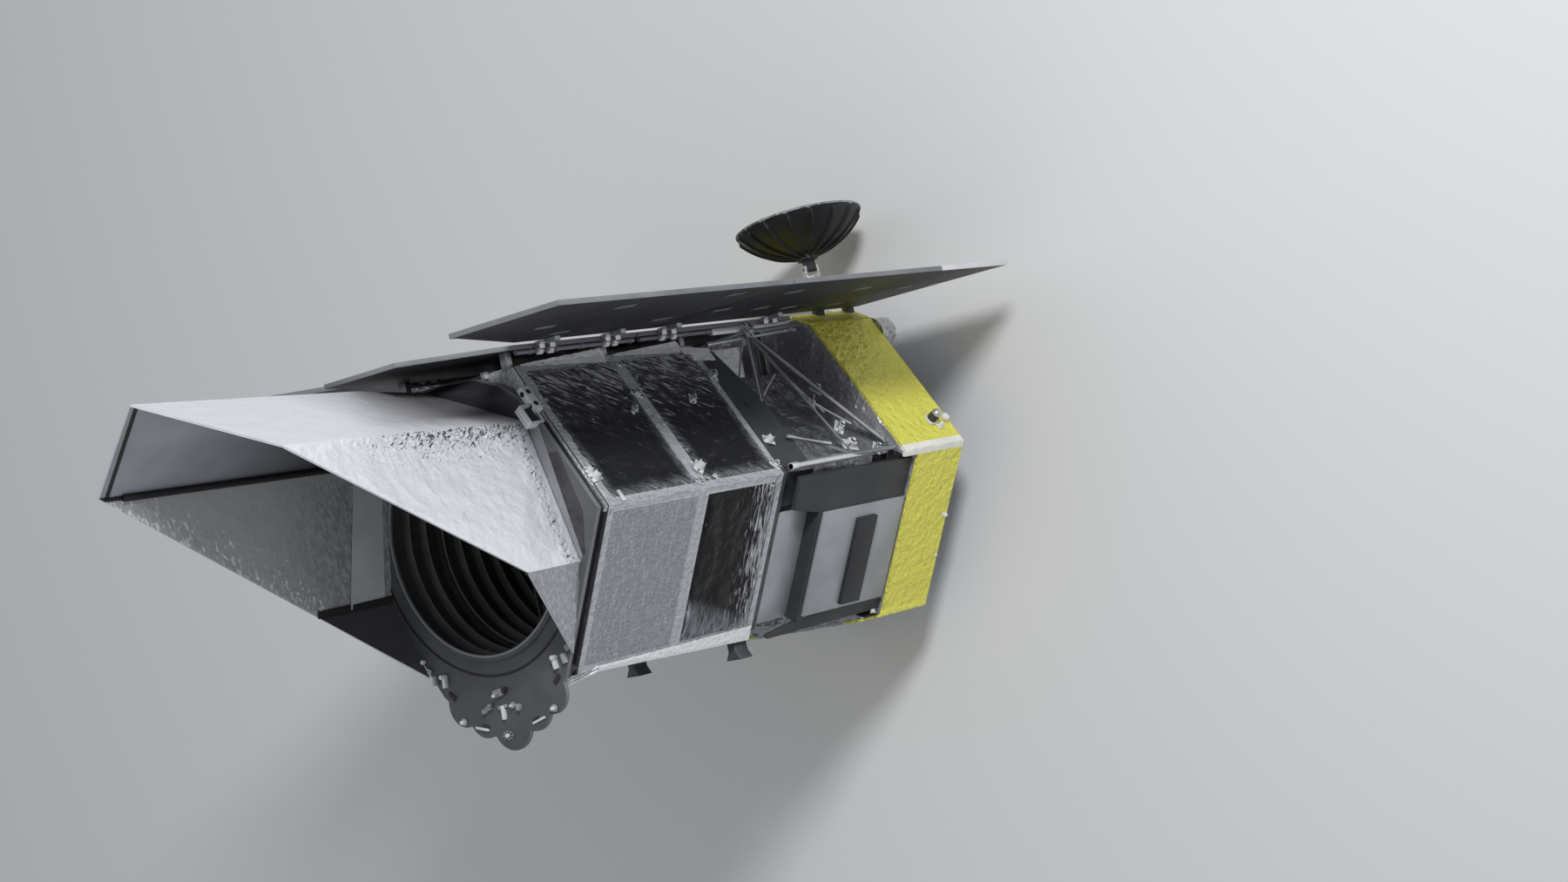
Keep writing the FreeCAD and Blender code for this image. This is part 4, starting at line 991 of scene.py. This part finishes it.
def make_truss():
    """Fittings, thin rods and the bright corner bars in the open bay, on both upper faces."""
    parts, knobs, bright = [], [], []
    for hand, face in upper_halves:
        def at(u, out, z, hand=hand, face=face):
            return face_place(face, hand * u, out, z)

        for start, end, radius in (
                (at(-0.393, 1.95, 3.40), at(-0.102, 1.93, 3.86), 0.013),
                (at(0.135, 1.94, 3.06), at(-0.02, 1.90, 2.86), 0.013),
                (at(0.135, 1.94, 3.06), at(0.55, 1.93, 2.62), 0.014),
                (at(0.03, 1.93, 2.71), at(0.76, 1.92, 2.25), 0.017),
                (at(0.557, 1.90, 3.94), at(0.80, 1.93, 3.27), 0.017),
                (at(-1.03, 1.90, 4.18), at(-1.12, 1.90, 2.42), 0.022),
                (at(-1.0, 1.9, 3.5), at(-0.25, 1.62, 4.0), 0.014),
                (at(-0.6, 1.7, 2.9), at(0.1, 1.62, 2.5), 0.014)):
            parts += bar(start, end, radius)
        for u, out, z, size in ((-0.12, 1.9, 2.71, 0.13), (0.555, 1.93, 2.85, 0.15), (0.86, 1.95, 2.93, 0.17),
                                (-1.142, 2.0, 3.33, 0.16), (0.14, 1.94, 3.06, 0.1), (1.0, 1.98, 2.5, 0.13)):
            turn = face_frame(face, hand * u, out - 0.04, z)
            knobs.append(turn @ Matrix.Rotation(u * 7, 4, "Z") @ Matrix.Scale(size, 4))
        bright += bar(at(1.02, 1.90, 4.26), at(1.02, 1.90, 2.27), 0.038)
    finished("bay_corner_rails", bright, "hinge_bright", smooth=40)
    finished("bay_thin_rods", parts, "rod_bright", smooth=40)
    finished("bay_fittings", copies(clamp_fitting(1.0), knobs), ("fitting_pale", "foot_grey"),
             smooth=35, chosen=lambda face: int(face.area < 0.0006))
    for side in ("right", "left"):
        dress("bay_truss_bars_" + side, ["bay_truss_" + side], ["strut_metal"], 0)


def make_bay():
    """Crumpled film on the bay core, plain deck and cold panel, skirt and closing sheets, and the pale cases."""
    waves = clouded(0.35)
    ridges = ridged(0.24)

    def calm(places):
        """Leaves the blocks behind the radiators plain."""
        return np.where(np.abs(places[:, 0]) * cos_30 - places[:, 1] * sin_30 > 1.43, 0.0, 1.0)

    for node_name in ("bay_core", "barrel_deck", "bay_cold_panel"):
        sheet, lines = skin_of(node_name + "_blanket", node_name, mesh_edge["bay"], True)
        layers = ((waves, 0.05), (ridges, 0.03)) if node_name == "bay_core" else ((waves, 0.014),)
        crumple(sheet, lines, 0.08, layers, extra=calm(places_of(sheet)))
        painted_with(sheet, "core_film" if node_name == "bay_core" else "skirt_grey")
        settled(sheet, [node_name], smooth=30)
    for side, hand, face in (("right", 1, UPPER_RIGHT), ("left", -1, UPPER_LEFT)):
        line = [(-1.05, 4.12), (-0.076, 3.80), (0.476, 3.78), (0.93, 3.79)]
        parts = []
        for (u0, z0), (u1, z1) in zip(line, line[1:]):
            corners = [face_place(face, hand * u, 1.845, z) for u, z in ((u0, 4.40), (u0, z0), (u1, z1), (u1, 4.40))]
            parts.append(slab(corners, 0.005, 6, flip=hand < 0))
        skirt = joined("bay_skirt_" + side, parts)
        everything(skirt)
        bpy.ops.mesh.remove_doubles(threshold=0.0005)
        done()
        dented(skirt, clouded(0.5), 0.02)
        painted_with(skirt, "skirt_grey")
        settled(skirt, smooth=30)
    closing = []
    for hand, face in lower_halves:
        closing.append(block((0, 0, 0), (0.012, 1.53, 0.19), face_frame(face, hand * 0.245, 1.945, 3.724), 0.003))
        closing.append(block((0, 0, 0), (0.70, 0.46, 0.01), face_frame(face, hand * -0.80, 1.78, 4.05), 0.003))
    finished("radiator_closing_sheets", closing, "dark_panel")
    cases = []
    for hand in (1, -1):
        case = block((hand * 0.66, 1.60, 3.52), (0.28, 0.42, 0.72), soft=0.012)
        refined(case, mesh_edge["case"], True)
        dented(case, waves, 0.02)
        cases.append(case)
    finished("bay_pale_cases", cases, "case_film", smooth=30)


def make_drum():
    """Aft drum wrapped in crumpled silver film."""
    drum = taken("aft_drum_film", "aft_drum")
    refined(drum, mesh_edge["drum"], True)
    creases = ridged(0.14)
    waves = clouded(0.12)
    crumple(drum, hard_edges(drum, 1.2), 0.03, ((waves, 0.045), (creases, 0.03)))
    painted_with(drum, "silver_foil")
    settled(drum, ["aft_drum"], smooth=28)


def make_cover_straps(side, hand, at):
    """Inside one half of the cover: dark bands along its folds, a pale strip and a grey hem by its foot."""
    def lerp(a, b, share):
        return at[a].lerp(at[b], share)

    inward = (at["cheek"] - at["foot_sun"]).cross(at["foot_mid"] - at["foot_sun"]).normalized()
    inward = inward if inward.x * hand < 0 else -inward

    def strap(points, thickness, looks, name):
        normal = (points[1] - points[0]).cross(points[2] - points[0])
        if normal.dot(Vector((-hand, -0.4, 0))) < 0:
            points = points[::-1]
        piece = slab(points, thickness)
        bevelled(piece, 0.002, segments=1)
        finished(name + "_" + side, [piece], looks)

    # A pale strip across the foot of the side
    strip = [lerp("foot_sun", "brow", 0.02), lerp("foot_sun", "brow", 0.125),
             at["foot_mid"] + Vector((hand * 0.083, -0.005, 0.6)), at["foot_mid"] + Vector((hand * 0.016, 0, 0.1))]
    strap(strip, 0.006, "lining_strip", "cover_foot_strip")
    # Dark band along the fold above the lower facet
    up = (at["foot_sun"] - at["foot_mid"]).normalized() * 0.07
    strap([at["foot_mid"] + up, at["foot_mid"] - up * 0.4, at["cheek"] - up * 0.3, at["cheek"] + up], 0.03,
          "groove_black", "cover_cheek_band")
    # Dark band on the fold between the boom's end and the mouth
    drop = (at["cheek"] - at["brow"]).normalized() * 0.075
    strap([lerp("foot_sun", "brow", 0.9), at["brow"], at["brow"] + drop, lerp("foot_sun", "brow", 0.9) + drop],
          0.02, "groove_black", "cover_brow_band")
    # Grey hem where the side stands on the plate
    spots = [(1.285, 1.17), (1.715, -0.56), (1.76, -0.50), (1.48, 1.12)]
    hem = slab([Vector((hand * x, y, on_plate)) for x, y in spots], 0.008, flip=hand < 0)
    finished("cover_hem_" + side, [hem], "hem_grey")
    # Dark line inset from the rim of the mouth, along the roof
    back = (at["ridge_rear"] - at["ridge_front"]).normalized()
    strap([at["ridge_front"] + back * 0.05, at["ridge_front"] + back * 0.1,
           at["brow"] + back * 0.12, at["brow"] + back * 0.07], 0.01, "groove_black", "cover_brow_line")


def make_barrel_flaps():
    """Pale film turned up along the barrel's corners, in a lighter copy as painted light, and along its front, the
    crinkled film on the collar's flange, the same lighter film along the cold faces' edges, and dark sheets of painted
    shadow on the plate.
    """
    folds = clouded(0.1, 2)
    for side, hand in (("right", 1), ("left", -1)):
        parts = []
        for z_front, z_rear, lift in ((7.52, 6.02, 0.105), (5.86, 4.62, 0.085)):
            parts.append([Vector((hand * 1.075, 1.86, z_front)), Vector((hand * 1.075, 1.86, z_rear)),
                          Vector((hand * 1.05, 1.86 + lift, z_rear + 0.05)),
                          Vector((hand * 1.07, 1.875, z_front - 0.04))])
        face = UPPER_RIGHT if hand > 0 else UPPER_LEFT
        for quad in (((-1.072, 7.50), (-1.072, 6.05), (-0.975, 6.09), (-1.055, 7.46)),
                     ((-1.072, 5.92), (-1.072, 4.66), (-0.985, 4.70), (-1.05, 5.88)),
                     ((-1.06, 4.66), (-1.0, 4.15), (-0.79, 4.18), (-0.84, 4.65))):
            parts.append([face_place(face, hand * u, 1.868, z) for u, z in quad])
        sheets = []
        for points in parts:
            sheet = slab(points, 0.004, 24, flip=hand > 0)
            crumple(sheet, [(np.array(points[0]), np.array(points[1]))], 0.05, ((folds, 0.03),))
            sheets.append(sheet)
        # The flaps take the lighter copy of the pale film as painted light
        finished("barrel_corner_flaps_" + side, sheets, "flap_film_painted_light", smooth=30)
    strips = []
    for hand, face in upper_halves:
        corners = [face_place(face, hand * u, 1.858, z) for u, z in ((-1.06, 7.60), (-1.06, 7.43),
                                                                    (1.06, 7.43), (1.06, 7.60))]
        strip = slab(corners, 0.006, 40, flip=hand < 0)
        crumple(strip, hard_edges(strip), 0.04, ((folds, 0.02),), middle=0.2)
        strips.append(strip)
    finished("barrel_front_strips", strips, "pale_film", smooth=30)
    film = taken("collar_flange_film", "collar")
    choose(film, "polygons", lambda face: not (face.normal.z > 0.9 and face.center.z < 7.65))
    bpy.ops.mesh.delete(type="FACE")
    done()
    film.data.transform(Matrix.Translation((0, 0, 0.003)))
    refined(film, mesh_edge["flange"], True)
    crumple(film, hard_edges(film), 0.04, ((folds, 0.03),), middle=0.0)
    modified(film, "SOLIDIFY", thickness=0.002, offset=-1.0)
    painted_with(film, "pale_film", "shroud_dark", chosen=lambda face: int(face.center.y < -0.05))
    settled(film, smooth=30)
    margins = []
    for hand, face in lower_halves:
        corners = [face_place(face, hand * u, barrel_out, z) for u, z in ((1.025, 7.25), (1.0, 4.43), (1.20, 4.43),
                                                                    (1.095, 7.25))]
        margin = slab(corners, 0.006, 40, flip=hand > 0)
        margins.append(crumple(margin, hard_edges(margin), 0.03, ((folds, 0.012),), middle=0.3))
        # Dark sheets on the plate beside the hem: painted shadow
        for quad in (((1.76, -0.5), (1.80, -0.5), (1.90, 0.0), (1.673, 0.0)),
                     ((1.673, 0.0), (1.90, 0.0), (1.70, 0.745), (1.545, 0.745))):
            points = [Vector((hand * x, y, on_plate)) for x, y in quad]
            margins.append(slab(points, 0.004, flip=hand < 0))
    # The edge films take the lighter copy of the pale film as painted light; the sheets on the plate are painted
    # shadow
    finished("barrel_edge_sheets_and_painted_shadow", margins, ("flap_film_painted_light", "shroud_dark"), smooth=30,
             chosen=lambda face: int(face.center.z > 7.7))
    dress("collar_tube", ["collar"], ["shroud_dark"], 0.004)


def horn(size=0.1):
    """A bright conical fitting with a dark mouth on a foot plate, standing along z."""
    bpy.ops.mesh.primitive_cone_add(vertices=20, radius1=0.42 * size, radius2=0.24 * size, depth=0.7 * size,
                                    location=(0, 0, 0.45 * size))
    cone = bpy.context.object
    cone.data.transform(Matrix.Translation((0, 0, 0.45 * size)))
    cone.location = (0, 0, 0)
    choose(cone, "polygons", lambda face: face.normal.z > 0.9)
    bpy.ops.mesh.inset(thickness=0.06 * size, depth=0)
    bpy.ops.mesh.inset(thickness=0.01 * size, depth=-0.3 * size)
    done()
    parts = [cone, block((0, 0, 0.05 * size), (1.3 * size, 0.9 * size, 0.1 * size), soft=0.02 * size)]
    for side in (-1, 1):
        parts.append(pin((side * 0.52 * size, 0, 0.13 * size), 0.08 * size, 0.1 * size, sides=6))
    return joined("horn", parts)


def make_barrel_fittings():
    """Brackets and small horns on the frames of both upper faces, and dark feet below."""
    horns, clamps, boxes, holes, strips = [], [], [], [], []
    for hand, face in upper_halves:
        for group, spin, spots in (
                (horns, 5, ((0.55, 4.27, 0.14), (0.77, 5.79, 0.16), (0.66, 7.54, 0.15), (0.56, 7.56, 0.11))),
                (clamps, 9, ((-0.56, 4.44, 0.13), (-0.435, 5.96, 0.12), (-0.2, 6.2, 0.11), (-0.234, 5.09, 0.11),
                             (0.94, 5.62, 0.07), (0.97, 5.95, 0.08), (0.93, 4.47, 0.11), (-0.9, 5.93, 0.07)))):
            for u, z, size in spots:
                group.append(face_frame(face, hand * u, barrel_out, z) @ Matrix.Rotation(u * spin, 4, "Z")
                             @ Matrix.Scale(size, 4))
        turn = face_frame(face, hand * -0.55, 1.87, 7.72)
        boxes.append(block((0, 0, 0), (0.13, 0.36, 0.10), turn, 0.012))
        for shift in (-0.09, 0.09):
            holes.append(pin((0, shift, 0.05), 0.034, 0.006, turn))
            holes.append(pin((0, 0, 0), 0.034, 0.006, turn @ Matrix.Translation((0.065, shift, 0))
                             @ Matrix.Rotation(math.pi / 2, 4, "Y")))
        turn = face_frame(face, hand * -0.34, 1.83, 7.85)
        boxes.append(block((0, 0, -0.02), (0.19, 0.26, 0.09), turn, 0.01))
        holes.append(block((0, 0, 0.026), (0.15, 0.21, 0.012), turn, 0.004))
        for shift in (-0.125, 0.125):
            strips.append(block((0, shift, 0.055), (0.22, 0.022, 0.022), turn, 0.004))
            strips.append(block((shift * 0.8, 0, 0.055), (0.022, 0.27, 0.022), turn, 0.004))
        for shift in (-0.125, 0.125):
            strips.append(block((0.105, shift, 0), (0.018, 0.022, 0.12), turn, 0.004))
        strips.append(block((0.105, 0, -0.045), (0.018, 0.26, 0.022), turn, 0.004))
        strips.append(block((0, 0, 0), (0.05, 0.16, 0.03), face_frame(face, hand * 0.98, 1.88, 7.34), 0.008))
        strips.append(block((0, 0, 0), (0.09, 0.09, 0.07), Matrix.Translation((hand * 0.62, 1.84, 7.66)), 0.01))
    pieces = copies(clamp_fitting(1.0), clamps) + copies(horn(1.0), horns)
    finished("frame_fittings", pieces + boxes, ("fitting_pale", "foot_grey"), smooth=35,
             chosen=lambda face: int(face.area < 0.0005))
    finished("frame_bracket_openings", holes, "groove_black", smooth=35)
    finished("frame_bracket_rims", strips, "hinge_bright", smooth=35)
    dress("barrel_foot_brackets", ["barrel_feet"], ["foot_grey"], 0.012)


def make_antenna():
    """Mast with its collar of bolts, silver-wrapped turret, dark ribbed dish with a thin pale rim and white feed."""
    # The dish's axis and hinge at rest, and how far its rim begins from that axis
    axis, pivot, rim = Vector((-0.1068, 0.9928, -0.0549)), Vector((0.688, 2.7855, 1.187)), 0.893

    def looks(face):
        reach = face.center - pivot
        return int((reach - axis * reach.dot(axis)).length > rim)

    dress("antenna_dish_shell", ["antenna_dish"], ["dish_dark", "dish_rim"], 0,
          "antenna_reflector", looks)
    dress("antenna_feed_horn", ["antenna_feed"], ["feed_white"], 0.003, "antenna_reflector")
    dress("antenna_turret_case", ["antenna_turret"], ["silver_foil"], 0.006, "antenna_head")
    dress("antenna_mast_tube", ["antenna_mast"], ["hinge_metal"], 0.004)
    turns = [Matrix.Translation((pivot.x, 2.15, pivot.z)) @ Matrix.Rotation(k * math.pi / 6, 4, "Y")
             @ Matrix.Translation((0.14, 0, 0)) @ Matrix.Rotation(math.pi / 2, 4, "X") for k in range(12)]
    finished("antenna_mast_bolts", copies(pin((0, 0, 0), 0.011, 0.016, sides=6), turns), "strut_metal")


def make_radiators():
    """Dark frames, silvered faces and bars with soft edges, and the rows of small fasteners that hold them."""
    for side in ("right", "left"):
        dress("radiator_frame_sheet_" + side, ["radiator_frame_" + side], ["dark_panel"], 0.006)
        dress("radiator_face_" + side, ["radiator_panel_" + side], ["radiator_grey"], 0.004)
    dress("radiator_bar_boxes", ["radiator_bars"], ["bar_black"], 0.006)
    dress("radiator_slim_faces", ["radiator_slims"], ["radiator_grey"], 0.004)
    turns = []
    for hand, face in lower_halves:
        for u in np.arange(-0.5, 0.95, 0.16):
            for z in (1.975, 3.625):
                turns.append(face_frame(face, hand * u, 2.076, z))
    finished("radiator_screws", copies(pin((0, 0, 0), 0.008, 0.006, sides=6), turns), "strut_metal")


def make_rear():
    """Launch ring with its flange bolts, tracker tubes, and small brackets on the bus."""
    dress("launch_ring_skirt", ["launch_ring"], ["ring_metal"], 0.003, angle=40)
    turns = [Matrix.Rotation(k * math.pi / 24, 4, "Z") @ Matrix.Translation((1.21, 0, 0.881)) for k in range(48)]
    finished("ring_flange_bolts", copies(pin((0, 0, 0), 0.012, 0.016, sides=6), turns), "strut_metal")

    def looks(face):
        """The tracker's pale foot plate, its dark tube and its bright mouth, by how far out they lie."""
        away = abs(face.center.x) * math.cos(math.radians(30)) + face.center.y / 2 - bus_out
        return 0 if away < 0.032 else (2 if away > 0.13 else 1)

    dress("star_tracker_tubes", ["star_trackers"], ["fitting_pale", "dark_panel", "rod_bright"], 0.004,
          chosen=looks)
    dark, pale = [], []
    for hand, face, low, edge in ((1, UPPER_RIGHT, LOWER_RIGHT, -30), (-1, UPPER_LEFT, LOWER_LEFT, 30)):
        for u, z in ((-0.14, 1.68), (-0.14, 1.02)):
            turn = face_frame(edge, hand * u, 2.36, z)
            dark.append(block((0, 0, 0), (0.16, 0.10, 0.10), turn @ Matrix.Rotation(0.5, 4, "X"), 0.01))
            pale.append(pin((0, 0, 0.06), 0.02, 0.05, turn, 0.004))
        pale.append(pin((0, 0, 0.03), 0.06, 0.08, face_frame(face, hand * 0.828, bus_out, 0.97), 0.035))
        for size, part, u, out, z in ((0.09, face, 0.93, bus_out, 1.16), (0.055, low, 1.10, 2.10, 2.13),
                                      (0.07, low, -0.14, bus_out, 0.955), (0.04, low, 0.46, bus_out, 0.94)):
            pale += copies(clamp_fitting(size), [face_frame(part, hand * u, out, z)])
    finished("bus_dark_brackets", dark, "dark_panel", smooth=35)
    finished("bus_fittings", pale, "white_cap", smooth=35)


def make_optics():
    """Baffle tube and vanes, the mirrors on their cell and the spider, with softly rounded edges."""
    for node_name, edge, look in (("baffle", 0.004, "baffle_black"), ("baffle_vanes", 0.0035, "vane_black"),
                                  ("mirror_cell", 0.004, "baffle_black"), ("spider", 0.003, "baffle_black")):
        dress(node_name + "_black", [node_name], [look], edge, angle=30)
    for node_name, way in (("primary_mirror", 1), ("secondary_mirror", -1)):
        dress(node_name + "_glass", [node_name], ["mirror_coat", "glass_edge"], 0.003,
              chosen=lambda face, way=way: 0 if face.normal.z * way > 0.5 else 1)


def make_camera():
    """The photograph's camera."""
    data = bpy.data.cameras.new("camera")
    data.lens, data.sensor_width = camera_lens_mm, 36.0
    data.shift_x, data.shift_y = camera_shift_x, camera_shift_y
    data.clip_end = 500.0
    camera = bpy.data.objects.new("camera", data)
    bpy.context.scene.collection.objects.link(camera)
    forward = camera_forward.normalized()
    right = forward.cross(camera_up).normalized()
    up = right.cross(forward)
    turn = Matrix((right, up, -forward)).transposed()
    camera.matrix_world = Matrix.Translation(camera_place) @ turn.to_4x4()
    bpy.context.scene.camera = camera


def make_floor():
    """A wide matt floor."""
    bpy.ops.mesh.primitive_plane_add(size=floor_size, location=(0, 0, 0))
    floor = bpy.context.object
    floor.name = "floor"
    made, _, shader = surface("matt_floor")
    shader.inputs["Base Color"].default_value = linear(floor_colour)
    shader.inputs["Roughness"].default_value = 0.8
    floor.data.materials.append(made)


def make_lights():
    """The key lamp and the even world."""
    data = bpy.data.lights.new("key", "AREA")
    data.shape, data.size, data.energy = "DISK", key_size, key_power
    key = bpy.data.objects.new("key", data)
    bpy.context.scene.collection.objects.link(key)
    key.location = key_place
    key.rotation_euler = (key_aim - key_place).to_track_quat("-Z", "Y").to_euler()
    world = bpy.data.worlds.new("studio")
    bpy.context.scene.world = world
    world.use_nodes = True
    tree = world.node_tree
    tree.nodes.clear()
    back = add(tree, "Background", {"Color": linear(world_colour), "Strength": world_strength})
    add(tree, "OutputWorld", links={"Surface": back.outputs[0]})


make_bus()
make_cover()
make_barrel_films()
make_barrel_frames()
make_barrel_flaps()
make_barrel_fittings()
make_shield()
make_hinges()
make_plate()
make_optics()
make_truss()
make_bay()
make_radiators()
make_drum()
make_antenna()
make_rear()
make_camera()
make_floor()
make_lights()
bpy.context.scene.view_settings.view_transform = "Standard"
